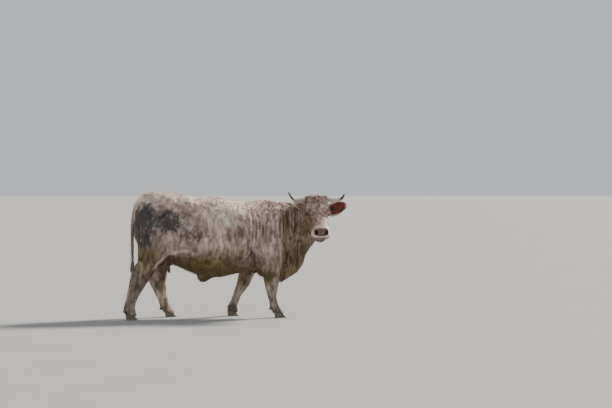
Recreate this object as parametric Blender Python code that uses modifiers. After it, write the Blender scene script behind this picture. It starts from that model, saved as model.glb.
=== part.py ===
"""Life-size standing cow of a heavy cream-white beef breed, in stride, looking to its right.

Metres, +Z up. The cow faces +X, its left side is +Y and the floor is z = 0. Heights, places and
thicknesses are written in centimetres on a cow that is 140 cm high at the withers, and CM scales
them all. The flesh is lofted and massed as one body, then parted by thin cuts into head, neck,
trunk and legs. Ears, horns, eyes, tail, udder and hooves are pieces of their own, fitted to it.
"""

import math

import bmesh
import bpy
from mathutils import Matrix, Vector

# ------------------------------------------------------------------ driving dimensions
WITHERS_HEIGHT = 1.40
CM = WITHERS_HEIGHT / 140.0
HEAD_HEADING = -92.0  # degrees from straight ahead, negative to the cow's right
HEAD_PITCH = -45.0  # degrees, the slope of the line from poll to muzzle
POLL = Vector((121.2, -25.0, 139.0))  # the top of the skull, between the horns

GAP = 0.0004  # metres of air in each cut between two pieces
VOXEL = 0.9 * CM  # the grid on which the masses are joined
EVEN_FACES = 7300  # triangles in the whole body at the fineness of the head
FLESH_FACES = 2300  # triangles in the whole body once the rest is made coarser
HEAD_REACH, HEAD_DEPTH = 20, 28  # how far the head spreads sideways and below the poll
MELT_HEIGHTS = (48, 70)  # the limbs stay firm below the first and are as soft as the trunk above
LIMB_MELT = 0.08
LIMB_SOFTENING = 0.25
MELT_ROUNDS = 26
SOFTEN_ROUNDS = 5
RING_POINTS = 28  # corners of one cross-section
SPAN_STEPS = 4  # cross-sections for each stretch between two stations
LIMB_SQUARENESS = (2.2, 2.1)  # of the front and back half of a limb's section

# ------------------------------------------------------------------ body sections
# Upright sections across the trunk, from the buttocks to the chest:
# x, top, waist (the widest level), bottom, half width, squareness above and below the waist.
TRUNK = (
    (-87.5, 116, 108, 96, 9, 2.0, 2.0),
    (-84, 131.5, 112, 80, 15, 2.2, 2.0),
    (-78, 142, 113, 70, 20, 2.3, 2.0),
    (-68, 147, 112, 66, 25, 2.4, 2.0),
    (-50, 147, 112, 64, 29, 2.5, 2.1),
    (-38, 145.8, 110, 60, 31, 2.7, 2.2),
    (-25, 143, 104, 54, 34, 2.8, 2.2),
    (-10, 142, 97, 49.5, 37.5, 2.6, 2.2),
    (10, 141, 93, 47, 40, 2.4, 2.2),
    (30, 137.0, 93, 51, 39.5, 2.3, 2.2),
    (45, 135.5, 95, 52, 36.5, 2.1, 2.1),
    (58, 137.2, 97, 51, 32, 1.9, 2.0),
    (69, 138.2, 97, 50, 28, 1.75, 2.0),
    (80, 135.5, 95, 50, 24, 1.75, 2.0),
    (90, 131, 92, 54, 18, 1.9, 2.0),
    (97, 118, 90, 64, 11, 2.0, 2.0),
)

# Upright sections across the bending neck, from the shoulders to the skull:
# x, y, heading in degrees, top, waist, bottom, half width, squareness above and below.
NECK = (
    (66, 0, 0, 136, 105, 72, 22, 1.9, 2.0),
    (80, 0, -4, 136.3, 108, 74, 22.5, 1.9, 2.0),
    (93, -1, -14, 135.6, 109, 76, 21.5, 1.9, 2.0),
    (104, -4, -30, 135.4, 111, 82, 19.5, 1.9, 2.0),
    (112, -10, -48, 135.5, 114, 88, 18, 2.0, 2.0),
    (117.5, -17, -66, 135.5, 117, 93, 16, 2.1, 2.0),
    (120.5, -25, -82, 134.5, 118, 99, 13.5, 2.1, 2.0),
)

# The loose skin of brisket and dewlap below it, as upright sections in the same form.
DEWLAP = (
    (58, 0, 0, 80, 66, 48.5, 15, 2.0, 2.0),
    (72, 0, 0, 84, 63, 42.5, 14, 2.0, 2.0),
    (84, 0, 0, 92, 65, 40.0, 13, 2.0, 2.0),
    (95, -1, -8, 98, 70, 46.5, 11.5, 2.0, 2.0),
    (105, -4, -22, 104, 78, 53, 9, 2.0, 2.0),
    (110.5, -8, -38, 108, 86, 65, 7, 2.0, 2.0),
    (114, -13, -52, 112, 94, 78, 5.5, 2.0, 2.0),
    (117.5, -20, -70, 114, 100, 84, 5, 2.0, 2.0),
    (119.5, -27, -84, 114, 102, 90, 4.5, 2.0, 2.0),
)

# Level sections of the limbs, from inside the body down to the hooves:
# height, half depth from front to back, half width, distance from the middle of the body.
HIND_LIMB = (
    (122, 24, 12, 15),
    (104, 25, 15.5, 17.5),
    (88, 22.5, 15, 18.5),
    (76, 18.5, 13, 19.5),
    (66, 14.5, 10.5, 20),
    (58, 14.6, 8.0, 20.5),
    (50, 13.0, 6.8, 21),
    (42, 10.7, 5.9, 21),
    (34, 8.8, 5.0, 21),
    (25, 7.0, 4.5, 21),
    (17, 6.4, 4.5, 21),
    (12, 6.8, 5.4, 21),
    (8, 6.7, 5.6, 21),
    (4.5, 7.0, 5.9, 21),
)
FORE_LIMB = (
    (86, 15, 7, 20),
    (74, 16, 8.5, 22),
    (64, 14.5, 9, 22.5),
    (56, 12, 8.4, 22),
    (49, 10.2, 7.4, 21.5),
    (42, 9.1, 6.6, 21),
    (37, 8.5, 6.5, 21),
    (31, 7.1, 5.6, 21),
    (25, 5.7, 4.5, 21),
    (18, 5.4, 4.5, 21),
    (13, 6.1, 5.5, 21),
    (8.5, 6.3, 5.7, 21),
    (4.5, 6.9, 6.0, 21),
)
# How far forward the middle of each of those sections stands, limb by limb: the stride.
STRIDE = {
    "hind_right": (-58, -61, -65, -69, -73.5, -79.4, -82.9, -87, -90.1, -94.2, -96.6, -97.0, -95.6, -94.6),
    "hind_left": (-57, -56, -53, -51.5, -54.0, -58.4, -59.8, -58.9, -56.6, -54.0, -50.8, -48.6, -46, -43.8),
    "fore_right": (72, 69.5, 68.5, 68.5, 68.5, 68.8, 69.2, 69.2, 69.8, 71.3, 72.8, 75.2, 77.6),
    "fore_left": (66, 58, 53, 50.5, 47.4, 44.9, 43.3, 40.0, 36.5, 33.5, 31.2, 30.8, 31.0),
}

# Muscle and bone under the skin, on both sides of the body:
# middle x, y, z, then half length, half width, half height, then a nod in degrees about Y.
PAIRED_MASSES = (
    (-25, 25, 132, 9, 6.5, 5, 0),  # hook bone
    (-80, 12, 131, 8, 6, 7, 20),  # pin bone
    (-54, 18, 124, 24, 12, 19, 0),  # rump muscle
    (-76, 17, 106, 13, 10, 27, -4),  # buttock
    (72, 16.5, 104, 13, 9, 26, 16),  # shoulder blade
    (84, 18, 86, 9, 8, 10, 0),  # point of the shoulder
)
MASSES = (
    (-73, 0, 139.8, 10, 6, 6, 16),  # root of the tail
    (68, 0, 130.5, 14, 6.5, 7.5, 4),  # crest of the withers
    (-7.5, 0, 48, 9.5, 2.8, 6.2, 0),  # loose fold at the navel
    (-47, -25.5, 88, 13, 8, 17, -20),  # right stifle
    (-41, 25.5, 88, 13, 8, 17, -12),  # left stifle
    (-38, -28, 80, 19, 4.5, 5.5, -6),  # right fold of the flank
    (-34, 28, 80, 19, 4.5, 5.5, -6),  # left fold of the flank
    (66, -22.5, 80, 15, 9, 15, -8),  # right upper arm
    (59, 22.5, 80, 15, 9, 15, 14),  # left upper arm
)

# ------------------------------------------------------------------ the head, in its own axes
# Along is the way from poll to muzzle, up is out of the forehead, and the poll is the origin:
# along, top, waist, bottom, half width, squareness above and below.
SKULL = (
    (-4, -5, -9, -14, 6.5, 2.0, 2.0),
    (0, -0.2, -7, -18, 12.8, 3.4, 2.0),
    (5, -0.2, -7, -21.5, 12.8, 2.8, 2.1),
    (11, 0.8, -7, -25, 12.9, 3.0, 2.2),
    (17, 1.0, -7, -26.5, 12.9, 3.1, 2.2),
    (22, 0.4, -8.0, -25.5, 12.0, 2.7, 2.2),
    (28, -0.8, -11, -23, 11.8, 2.2, 2.2),
    (34, -1.6, -12, -20.8, 11.0, 2.1, 2.2),
    (39.5, -2.0, -11.5, -19.4, 11.0, 2.2, 2.2),
    (44, -2.4, -11, -18.8, 11.0, 2.4, 2.3),
    (47.5, -3.4, -12.4, -18, 11.6, 2.4, 2.8),
    (50.5, -6.4, -13, -17, 10.6, 2.3, 2.8),
    (52.5, -9.8, -12.8, -15.8, 6.4, 2.1, 2.0),
)
HEAD_PAIRED_MASSES = (
    (18, 10.8, -3.2, 5.6, 2.9, 3.4, 0),  # brow over the eye
    (16.5, 8.8, -17, 10, 4.8, 8, 0),  # chewing muscle
    (27, 9.2, -14, 10, 3.8, 6.5, 0),  # cheek
    (45.5, 6.0, -6.2, 4.6, 3.7, 3.6, 0),  # wing of the nostril
    (0.5, 8.0, -0.8, 5.0, 6.5, 3.7, 0),  # curls over the base of the horn
)
HEAD_MASSES = (
    (0.5, 0, -0.6, 5.5, 12.6, 4.0, 0),  # crest between the horns
    (49.5, 0, -12.4, 3.6, 8.6, 3.4, 0),  # upper lip
    (46.0, 0, -17.8, 5.8, 7.2, 3.4, 0),  # chin
)
EYE_PLACE = (20.5, 12.0, -5.4)
EYE_RADIUS = 2.2
NOSTRIL = (48.6, 5.8, -6.2)
NOSTRIL_SIZE = (2.7, 1.8, 2.3)
NOSTRIL_NOD = 30
MOUTH_LEVEL = -15.0
MOUTH_CORNER = 40.0
CLEAR = 8.0  # how far a cutter stands out of what it cuts

HORN_BASE_RADIUS = 2.35
HORN_TIP_RADIUS = 0.45
# The line of a horn from inside the skull to its tip: along, out, up in the head's axes.
HORN_LINES = {
    "right": ((1, 7, -1), (1.2, 13, -1.2), (1.5, 20, -1.2), (2.1, 26, -0.7), (0.6, 30.5, 3), (-3, 33.5, 7.3)),
    "left": ((1, 7, -1), (1.2, 13, -1.4), (1.6, 20, -1.4), (1.8, 27.5, -0.6), (0.8, 31, 2.2), (-1, 32.6, 5.4)),
}
EAR_LENGTH = 25.5
EAR_WIDTH = 17.0
EAR_FULLNESS = 0.6  # width of the root, as a share of the widest place
EAR_THICKNESS = 0.9
EAR_GRID = (9, 6)  # stretches along and across
EAR_TIP = 0.985  # share of the length at which the leaf is cut off, just before it has no width
EAR_ROOT = {"left": (9.0, 12.2, -11.0), "right": (7.0, 12.2, -10.0)}
# Where each ear points and where its cup opens, in the head's axes: along, out, up.
EAR_AIMS = {"left": ((-0.25, 1.0, 0.1), (0.85, 0.1, 0.57)), "right": ((0.22, 0.76, 0.5), (0.43, 0.21, -0.84))}

# ------------------------------------------------------------------ feet, tail, udder
CLAW_LENGTH = 12.8
CLAW_WIDTH = 5.6
CLAW_HEIGHT = 6.8
CLAW_BEVEL = 0.7
CLAW_SPREAD = 3.15  # half the distance between the two claws of a foot
DEWCLAW_RADIUS = 1.4
DEWCLAW_HEIGHT = 4.6
DEWCLAW_SPREAD = 2.6
DEWCLAW_SINK = 1.1
DEWCLAW_DROP = 1.6  # below the middle of the fetlock
DEWCLAW_NOD = 28
FETLOCK = -3  # its place in the rows of a limb: the third from the ground
FEET = {"hind_right": -94.5, "hind_left": -42.5, "fore_right": 79.5, "fore_left": 31.6}
FOOT_SPLAY = {"hind_right": -4.0, "hind_left": 5.0, "fore_right": -5.0, "fore_left": 5.0}
FOOT_DISTANCE = 21.0

# The line of the tail: x, y, z, radius.
TAIL_LINE = (
    (-75, 0, 142, 4.8),
    (-80.5, 0, 138.2, 4.1),
    (-85.8, 0.3, 131, 3.1),
    (-88.8, 0.8, 121, 2.6),
    (-90.4, 1.0, 108, 2.35),
    (-90.8, 1.0, 94, 2.2),
    (-90.6, 1.0, 80, 2.0),
    (-90.4, 1.0, 67, 1.8),
)
SWITCH_LINE = (
    (-90.4, 1.0, 68, 1.9),
    (-90.6, 1.0, 64.5, 2.6),
    (-90.9, 1.0, 60.5, 2.8),
    (-91.2, 1.0, 56.5, 2.0),
    (-91.5, 1.0, 53.5, 0.7),
)
UDDER = (-55, 0, 66, 13, 8.5, 9)
UDDER_NOD = -12
UDDER_VOXEL = 0.7
UDDER_THINNING = 0.055  # share of its faces that is kept
TEATS = ((-48, 4.2), (-48, -4.2), (-58, 4.0), (-58, -4.0))
TEAT_LENGTH = 6.0
TEAT_RADIUS = 1.5

HIDE = ("hide", (0.62, 0.54, 0.47), 0.85)
SKIN = ("bare_skin", (0.55, 0.36, 0.32), 0.55)
HORN = ("horn", (0.62, 0.56, 0.46), 0.45)
HOOF = ("hoof", (0.12, 0.10, 0.09), 0.5)
EYE = ("eye", (0.03, 0.02, 0.02), 0.1)
SWITCH = ("tail_hair", (0.50, 0.43, 0.36), 0.9)


# ------------------------------------------------------------------ scene and materials
def clear_scene():
    for obj in list(bpy.data.objects):
        bpy.data.objects.remove(obj)


def new_collection(name, hidden=False):
    collection = bpy.data.collections.new(name)
    bpy.context.scene.collection.children.link(collection)
    collection.hide_render = hidden
    return collection


def material(look):
    name, colour, roughness = look
    found = bpy.data.materials.get(name)
    if found is None:
        found = bpy.data.materials.new(name)
        found.use_nodes = True
        shader = found.node_tree.nodes["Principled BSDF"]
        shader.inputs["Base Color"].default_value = (*colour, 1.0)
        shader.inputs["Roughness"].default_value = roughness
    return found


# ------------------------------------------------------------------ shapes
def smooth_rows(rows, steps):
    """Rows of numbers with steps - 1 more between each pair, on one Catmull-Rom curve."""
    rows = [Vector(row) for row in rows]
    ends = [rows[0] * 2 - rows[1], *rows, rows[-1] * 2 - rows[-2]]
    made = []
    for before, first, second, after in zip(ends, ends[1:], ends[2:], ends[3:]):
        for i in range(steps):
            t = i / steps
            made.append(
                0.5
                * (
                    2 * first
                    + (second - before) * t
                    + (2 * before - 5 * first + 4 * second - after) * t**2
                    + (3 * first - before - 3 * second + after) * t**3
                )
            )
    return [*made, rows[-1]]


def ring(centre, side, up, half, rise, drop, above, below):
    """One cross-section: a superellipse whose upper and lower halves differ in height and squareness."""
    points = []
    for i in range(RING_POINTS):
        angle = 2 * math.pi * i / RING_POINTS
        across, upward = math.cos(angle), math.sin(angle)
        power, height = (above, rise) if upward >= 0 else (below, drop)
        out = half * math.copysign(abs(across) ** (2 / power), across)
        lift = height * math.copysign(abs(upward) ** (2 / power), upward)
        points.append(centre + side * out + up * lift)
    return points


def add_loft(bm, rings, matrix=None):
    """A closed tube through the rings, with flat ends."""
    matrix = matrix or Matrix()
    rows = [[bm.verts.new(matrix @ (point * CM)) for point in points] for points in rings]
    for low, high in zip(rows, rows[1:]):
        for i in range(len(low)):
            bm.faces.new((low[i - 1], low[i], high[i], high[i - 1]))
    bm.faces.new(rows[0][::-1])
    bm.faces.new(rows[-1])


def add_mass(bm, x, y, z, length, width, height, nod, matrix=None, segments=24):
    """An ellipsoid, nodded about the Y axis."""
    place = Matrix.Translation(Vector((x, y, z)) * CM)
    turn = Matrix.Rotation(math.radians(nod), 4, "Y")
    size = Matrix.Diagonal((length * CM, width * CM, height * CM, 1))
    whole = (matrix or Matrix()) @ place @ turn @ size
    bmesh.ops.create_uvsphere(bm, u_segments=segments, v_segments=segments * 2 // 3, radius=1, matrix=whole)


def add_sections(bm, sections):
    """A loft of upright sections: x, y, heading, top, waist, bottom, half width, squareness twice."""
    rings = []
    for x, y, heading, top, waist, bottom, half, above, below in smooth_rows(sections, SPAN_STEPS):
        turn = math.radians(heading)
        side = Vector((-math.sin(turn), math.cos(turn), 0))
        centre = Vector((x, y, waist))
        rings.append(ring(centre, side, Vector((0, 0, 1)), half, top - waist, waist - bottom, above, below))
    add_loft(bm, rings)


def add_limb(bm, sections, stride, side):
    """A loft of level sections from the body down to the foot. side is 1 for left and -1 for right."""
    rows = [(*section, x) for section, x in zip(sections, stride)]
    rings = []
    for height, depth, half, out, x in smooth_rows([(*row[:4], row[4]) for row in rows], SPAN_STEPS):
        centre = Vector((x, side * out, height))
        rings.append(ring(centre, Vector((0, 1, 0)), Vector((1, 0, 0)), half, depth, depth, *LIMB_SQUARENESS))
    add_loft(bm, rings)


def head_matrix():
    """From the head's own axes, in metres from the poll, to the body's."""
    heading, pitch = math.radians(HEAD_HEADING), math.radians(HEAD_PITCH)
    turn = Matrix.Rotation(heading, 4, "Z") @ Matrix.Rotation(-pitch, 4, "Y")
    return Matrix.Translation(POLL * CM) @ turn


def add_head(bm):
    matrix = head_matrix()
    rings = []
    for along, top, waist, bottom, half, above, below in smooth_rows(SKULL, SPAN_STEPS):
        centre = Vector((along, 0, waist))
        heights = (top - waist, waist - bottom)
        rings.append(ring(centre, Vector((0, 1, 0)), Vector((0, 0, 1)), half, *heights, above, below))
    add_loft(bm, rings, matrix)
    for along, out, up, *size in HEAD_PAIRED_MASSES:
        for side in (1, -1):
            add_mass(bm, along, side * out, up, *size, matrix)
    for mass in HEAD_MASSES:
        add_mass(bm, *mass, matrix)


# ------------------------------------------------------------------ objects
def mesh_object(name, bm, collection, look=HIDE):
    bmesh.ops.recalc_face_normals(bm, faces=bm.faces)
    mesh = bpy.data.meshes.new(name)
    bm.to_mesh(mesh)
    bm.free()
    mesh.materials.append(material(look))
    mesh.shade_smooth()
    obj = bpy.data.objects.new(name, mesh)
    collection.objects.link(obj)
    return obj


def apply_modifiers(obj):
    """Replaces the object's mesh with what its modifiers make of it."""
    bpy.context.view_layer.update()
    graph = bpy.context.evaluated_depsgraph_get()
    mesh = bpy.data.meshes.new_from_object(obj.evaluated_get(graph))
    obj.modifiers.clear()
    obj.data = mesh


def boolean(obj, operation, other):
    cut = obj.modifiers.new(operation.lower(), "BOOLEAN")
    cut.operation = operation
    cut.object = other
    apply_modifiers(obj)


def copy_of(obj, name, collection):
    copy = bpy.data.objects.new(name, obj.data.copy())
    collection.objects.link(copy)
    return copy


def swollen(obj, margin, collection):
    """A copy of the object, pushed out along its normals, as a cutter that leaves a gap."""
    cutter = copy_of(obj, obj.name + "_swollen", collection)
    cutter.display_type = "WIRE"
    push = cutter.modifiers.new("push", "DISPLACE")
    push.mid_level = 0
    push.strength = margin
    apply_modifiers(cutter)
    return cutter


def seat(piece, bed, cutters):
    """Cuts a socket for the piece in what it grows out of, with the gap between them."""
    triangulate(piece)
    boolean(bed, "DIFFERENCE", swollen(piece, GAP, cutters))
    keep_largest(bed)


def triangulate(obj):
    """Fixes how bent faces are folded, so that a swollen copy is folded the same way."""
    bm = bmesh.new()
    bm.from_mesh(obj.data)
    bmesh.ops.triangulate(bm, faces=bm.faces)
    bm.to_mesh(obj.data)
    bm.free()


def keep_largest(obj):
    """Drops loose shavings that a cut left beside the piece."""
    bm = bmesh.new()
    bm.from_mesh(obj.data)
    islands, seen = [], set()
    for start in bm.verts:
        if start in seen:
            continue
        island, front = {start}, [start]
        while front:
            for edge in front.pop().link_edges:
                for vert in edge.verts:
                    if vert not in island:
                        island.add(vert)
                        front.append(vert)
        seen |= island
        islands.append(island)
    islands.sort(key=len)
    for island in islands[:-1]:
        bmesh.ops.delete(bm, geom=list(island), context="VERTS")
    bm.to_mesh(obj.data)
    bm.free()


def grown(outline, margin):
    """A convex outline, counter-clockwise, with each side moved out by margin."""
    corners = [Vector(point) for point in outline]
    moved = []
    for before, corner, after in zip([corners[-1], *corners], corners, [*corners[1:], corners[0]]):
        into, away = (corner - before).normalized(), (after - corner).normalized()
        first = Vector((into.y, -into.x)) * margin
        second = Vector((away.y, -away.x)) * margin
        bend = into.cross(away)
        moved.append(corner + first + into * ((second - first).cross(away) / bend))
    return moved


def prism(name, outline, near, far, collection, matrix=None, margin=0.0):
    """A region in the shape of an outline in X and Z, in centimetres, from y = near to y = far."""
    bm = bmesh.new()
    points = grown([Vector(point) * CM for point in outline], margin)
    low, high = near * CM - margin, far * CM + margin
    rows = [[bm.verts.new((p.x, y, p.y)) for p in points] for y in (low, high)]
    for i in range(len(points)):
        bm.faces.new((rows[0][i - 1], rows[0][i], rows[1][i], rows[1][i - 1]))
    bm.faces.new(rows[0][::-1])
    bm.faces.new(rows[1])
    bm.transform(matrix or Matrix())
    obj = mesh_object(name, bm, collection)
    obj.display_type = "WIRE"
    return obj


def carve(body, name, region, collection, cutters):
    """Takes the part of the body inside the region as a new piece, and leaves a thin cut round it."""
    piece = copy_of(body, name, collection)
    boolean(piece, "INTERSECT", prism(name + "_region", *region[:3], cutters, *region[3:]))
    grown_region = prism(name + "_cut", *region[:3], cutters, *region[3:], margin=GAP)
    boolean(body, "DIFFERENCE", grown_region)
    keep_largest(piece)
    keep_largest(body)
    return piece


# ------------------------------------------------------------------ the body
def build_flesh(collection):
    """The whole body as one closed skin: lofts and masses joined on a voxel grid and relaxed."""
    bm = bmesh.new()
    add_sections(bm, [(x, 0, 0, *rest) for x, *rest in TRUNK])
    add_sections(bm, NECK)
    add_sections(bm, DEWLAP)
    for limb, stride in STRIDE.items():
        sections = HIND_LIMB if limb.startswith("hind") else FORE_LIMB
        add_limb(bm, sections, stride, 1 if limb.endswith("left") else -1)
    for x, y, z, *rest in PAIRED_MASSES:
        for side in (1, -1):
            add_mass(bm, x, side * y, z, *rest)
    for mass in MASSES:
        add_mass(bm, *mass)
    add_head(bm)
    flesh = mesh_object("flesh", bm, collection)
    remesh = flesh.modifiers.new("join", "REMESH")
    remesh.mode = "VOXEL"
    remesh.voxel_size = VOXEL
    remesh.use_smooth_shade = True
    apply_modifiers(flesh)
    relax(flesh)
    thin_out(flesh)
    return flesh


def in_head_box(local, start):
    """Whether a place in the head's axes lies on the head, counted from start along it."""
    return local.x > start and abs(local.y) < HEAD_REACH and local.z > -HEAD_DEPTH


def relax(flesh):
    """Melts the joins between the masses, strongly on the trunk and lightly on limbs and head."""
    low, high = MELT_HEIGHTS
    to_head = head_matrix().inverted()
    whole = flesh.vertex_groups.new(name="melt")
    fine = flesh.vertex_groups.new(name="fine")
    for vert in flesh.data.vertices:
        local = to_head @ vert.co / CM
        on_head = in_head_box(local, 2)
        share = min(1.0, max(0.0, (vert.co.z / CM - low) / (high - low)))
        weight = LIMB_MELT + (1.0 - LIMB_MELT) * share
        whole.add([vert.index], 0.0 if on_head else weight, "REPLACE")
        fine.add([vert.index], 1.0 if on_head else LIMB_SOFTENING * (1.0 - share), "REPLACE")
    melt = flesh.modifiers.new("melt", "SMOOTH")
    melt.factor = 0.5
    melt.iterations = MELT_ROUNDS
    melt.vertex_group = "melt"
    soften = flesh.modifiers.new("soften", "SMOOTH")
    soften.factor = 0.4
    soften.iterations = SOFTEN_ROUNDS
    soften.vertex_group = "fine"
    apply_modifiers(flesh)


def thin_out(flesh):
    """Fewer, larger faces: everywhere at first, then only away from the head."""
    flesh.vertex_groups.clear()
    to_head = head_matrix().inverted()
    group = flesh.vertex_groups.new(name="coarse")
    for vert in flesh.data.vertices:
        local = to_head @ vert.co / CM
        group.add([vert.index], 0.0 if in_head_box(local, -2) else 1.0, "REPLACE")
    start = len(flesh.data.polygons) * 2
    first = flesh.modifiers.new("first", "DECIMATE")
    first.ratio = EVEN_FACES / start
    second = flesh.modifiers.new("second", "DECIMATE")
    second.ratio = FLESH_FACES / EVEN_FACES
    second.vertex_group = "coarse"
    apply_modifiers(flesh)


# ------------------------------------------------------------------ pieces of their own
def tube(name, line, collection, look, matrix=None):
    """A tapering round piece along a line of x, y, z, radius, in centimetres."""
    curve = bpy.data.curves.new(name, "CURVE")
    curve.dimensions = "3D"
    curve.bevel_depth = CM
    curve.bevel_resolution = 2
    curve.use_fill_caps = True
    rows = smooth_rows(line, 3)
    spline = curve.splines.new("POLY")
    spline.points.add(len(rows) - 1)
    for point, (x, y, z, radius) in zip(spline.points, rows):
        point.co = (*(Vector((x, y, z)) * CM), 1)
        point.radius = radius
    guide = bpy.data.objects.new(name + "_guide", curve)
    guide.matrix_world = matrix or Matrix()
    collection.objects.link(guide)
    bpy.context.view_layer.update()
    mesh = bpy.data.meshes.new_from_object(guide.evaluated_get(bpy.context.evaluated_depsgraph_get()))
    mesh.transform(guide.matrix_world)
    bpy.data.objects.remove(guide)
    bm = bmesh.new()
    bm.from_mesh(mesh)
    bmesh.ops.remove_doubles(bm, verts=bm.verts, dist=1e-5)
    return mesh_object(name, bm, collection, look)


def build_eye(side_name, collection):
    along, out, up = EYE_PLACE
    side = 1 if side_name == "left" else -1
    bm = bmesh.new()
    place = head_matrix() @ Matrix.Translation(Vector((along, side * out, up)) * CM)
    bmesh.ops.create_uvsphere(bm, u_segments=12, v_segments=7, radius=EYE_RADIUS * CM, matrix=place)
    return mesh_object("eye_" + side_name, bm, collection, EYE)


def cut_face(head, cutters):
    """Opens the nostrils and the line of the mouth."""
    along, out, up = NOSTRIL
    for side in (1, -1):
        bm = bmesh.new()
        add_mass(bm, along, side * out, up, *NOSTRIL_SIZE, NOSTRIL_NOD, head_matrix(), segments=10)
        boolean(head, "DIFFERENCE", mesh_object("nostril_cut", bm, cutters))
    beyond = SKULL[-1][0] + CLEAR
    lip = [(MOUTH_CORNER, MOUTH_LEVEL - 0.9), (beyond, MOUTH_LEVEL - 0.35), (beyond, MOUTH_LEVEL + 0.25)]
    boolean(head, "DIFFERENCE", prism("mouth_cut", lip, -12, 12, cutters, head_matrix()))
    keep_largest(head)


def build_horn(side_name, collection):
    side = 1 if side_name == "left" else -1
    points = HORN_LINES[side_name]
    line = []
    for i, (along, out, up) in enumerate(points):
        share = i / (len(points) - 1)
        radius = HORN_BASE_RADIUS + (HORN_TIP_RADIUS - HORN_BASE_RADIUS) * share**1.5
        line.append((along, side * out, up, radius))
    return tube("horn_" + side_name, line, collection, HORN, head_matrix())


def build_ear(side_name, collection):
    """A cupped leaf, broadest past its middle, opening towards its second aim."""
    side = 1 if side_name == "left" else -1
    aim, opening = (Vector((v[0], side * v[1], v[2])) for v in EAR_AIMS[side_name])
    aim.normalize()
    across = opening.cross(aim).normalized()
    opening = aim.cross(across)
    root = Vector(EAR_ROOT[side_name])
    root.y *= side
    rows, columns = EAR_GRID
    bm = bmesh.new()
    grid = []
    for i in range(rows + 1):
        along = EAR_TIP * i / rows
        belly = EAR_FULLNESS + (1 - EAR_FULLNESS) * math.sin(math.pi * (0.12 + 0.66 * along))
        width = EAR_WIDTH * belly * math.sqrt(1.0 - along**6)
        cup = 0.62 - 0.38 * along
        line = []
        for j in range(columns + 1):
            spread = 2 * j / columns - 1
            bend = spread * (1.15 - 0.45 * along)
            out = across * (math.sin(bend) * width / 2)
            hollow = opening * (cup * (1 - math.cos(bend)) * width)
            line.append(bm.verts.new((root + aim * (along * EAR_LENGTH) + out + hollow) * CM))
        grid.append(line)
    for low, high in zip(grid, grid[1:]):
        for j in range(columns):
            bm.faces.new((low[j], low[j + 1], high[j + 1], high[j]))
    bm.transform(head_matrix())
    ear = mesh_object("ear_" + side_name, bm, collection)
    wall = ear.modifiers.new("wall", "SOLIDIFY")
    wall.thickness = EAR_THICKNESS * CM
    wall.offset = 0
    apply_modifiers(ear)
    return ear


def build_claw(name, x, y, turn, inner, collection):
    """One half of a cloven hoof: a rounded wedge, high at the heel, with a flat sole."""
    bm = bmesh.new()
    bmesh.ops.create_cube(bm, size=1)
    bmesh.ops.subdivide_edges(bm, edges=bm.edges, cuts=1, use_grid_fill=True)
    for vert in bm.verts:
        along, out, up = vert.co.x + 0.5, vert.co.y, vert.co.z + 0.5
        narrow = 1.0 - 0.55 * along**2
        slope = up * (3.2 + 1.6 * along)
        bow = inner * 0.9 * along**2
        vert.co = Vector(
            (
                (along - 0.45) * CLAW_LENGTH - slope * (0.35 + 0.65 * along),
                out * CLAW_WIDTH * narrow * (1.0 - 0.10 * up) - bow,
                up * CLAW_HEIGHT * (1.0 - 0.12 * along),
            )
        )
    place = Matrix.Translation((x * CM, y * CM, 0)) @ Matrix.Rotation(math.radians(turn), 4, "Z")
    bm.transform(place @ Matrix.Scale(CM, 4))
    claw = mesh_object(name, bm, collection, HOOF)
    edge = claw.modifiers.new("edge", "BEVEL")
    edge.width = CLAW_BEVEL * CM
    edge.segments = 1
    edge.limit_method = "ANGLE"
    edge.angle_limit = math.radians(40)
    apply_modifiers(claw)
    return claw


def build_foot(limb, collection):
    """The two claws of a foot, and the two small dewclaws behind it."""
    side = 1 if limb.endswith("left") else -1
    x, turn = FEET[limb], FOOT_SPLAY[limb]
    claws = []
    for which, offset in (("outer", 1), ("inner", -1)):
        y = side * (FOOT_DISTANCE + offset * CLAW_SPREAD)
        claws.append(build_claw(f"hoof_{limb}_{which}", x, y, turn, side * offset, collection))
    return claws


def build_dewclaws(limb, collection):
    side = 1 if limb.endswith("left") else -1
    sections = HIND_LIMB if limb.startswith("hind") else FORE_LIMB
    height, depth = sections[FETLOCK][:2]
    x = STRIDE[limb][FETLOCK] - depth + DEWCLAW_SINK
    made = []
    for which, offset in (("outer", 1), ("inner", -1)):
        bm = bmesh.new()
        y = side * (FOOT_DISTANCE + offset * DEWCLAW_SPREAD)
        size = (DEWCLAW_RADIUS, DEWCLAW_RADIUS, DEWCLAW_HEIGHT / 2)
        add_mass(bm, x, y, height - DEWCLAW_DROP, *size, DEWCLAW_NOD, segments=7)
        made.append(mesh_object(f"dewclaw_{limb}_{which}", bm, collection, HOOF))
    return made


def build_udder(collection):
    """A small bag with four teats, joined on a voxel grid."""
    bm = bmesh.new()
    add_mass(bm, *UDDER, UDDER_NOD)
    for x, y in TEATS:
        level = UDDER[2] - UDDER[5] - TEAT_LENGTH * 0.2
        add_mass(bm, x, y, level, TEAT_RADIUS, TEAT_RADIUS, TEAT_LENGTH * 0.8, 0, segments=12)
    udder = mesh_object("udder", bm, collection, SKIN)
    join = udder.modifiers.new("join", "REMESH")
    join.mode = "VOXEL"
    join.voxel_size = UDDER_VOXEL * CM
    relaxed = udder.modifiers.new("relaxed", "SMOOTH")
    relaxed.iterations = 4
    thin = udder.modifiers.new("thin", "DECIMATE")
    thin.ratio = UDDER_THINNING
    apply_modifiers(udder)
    return udder


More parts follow.
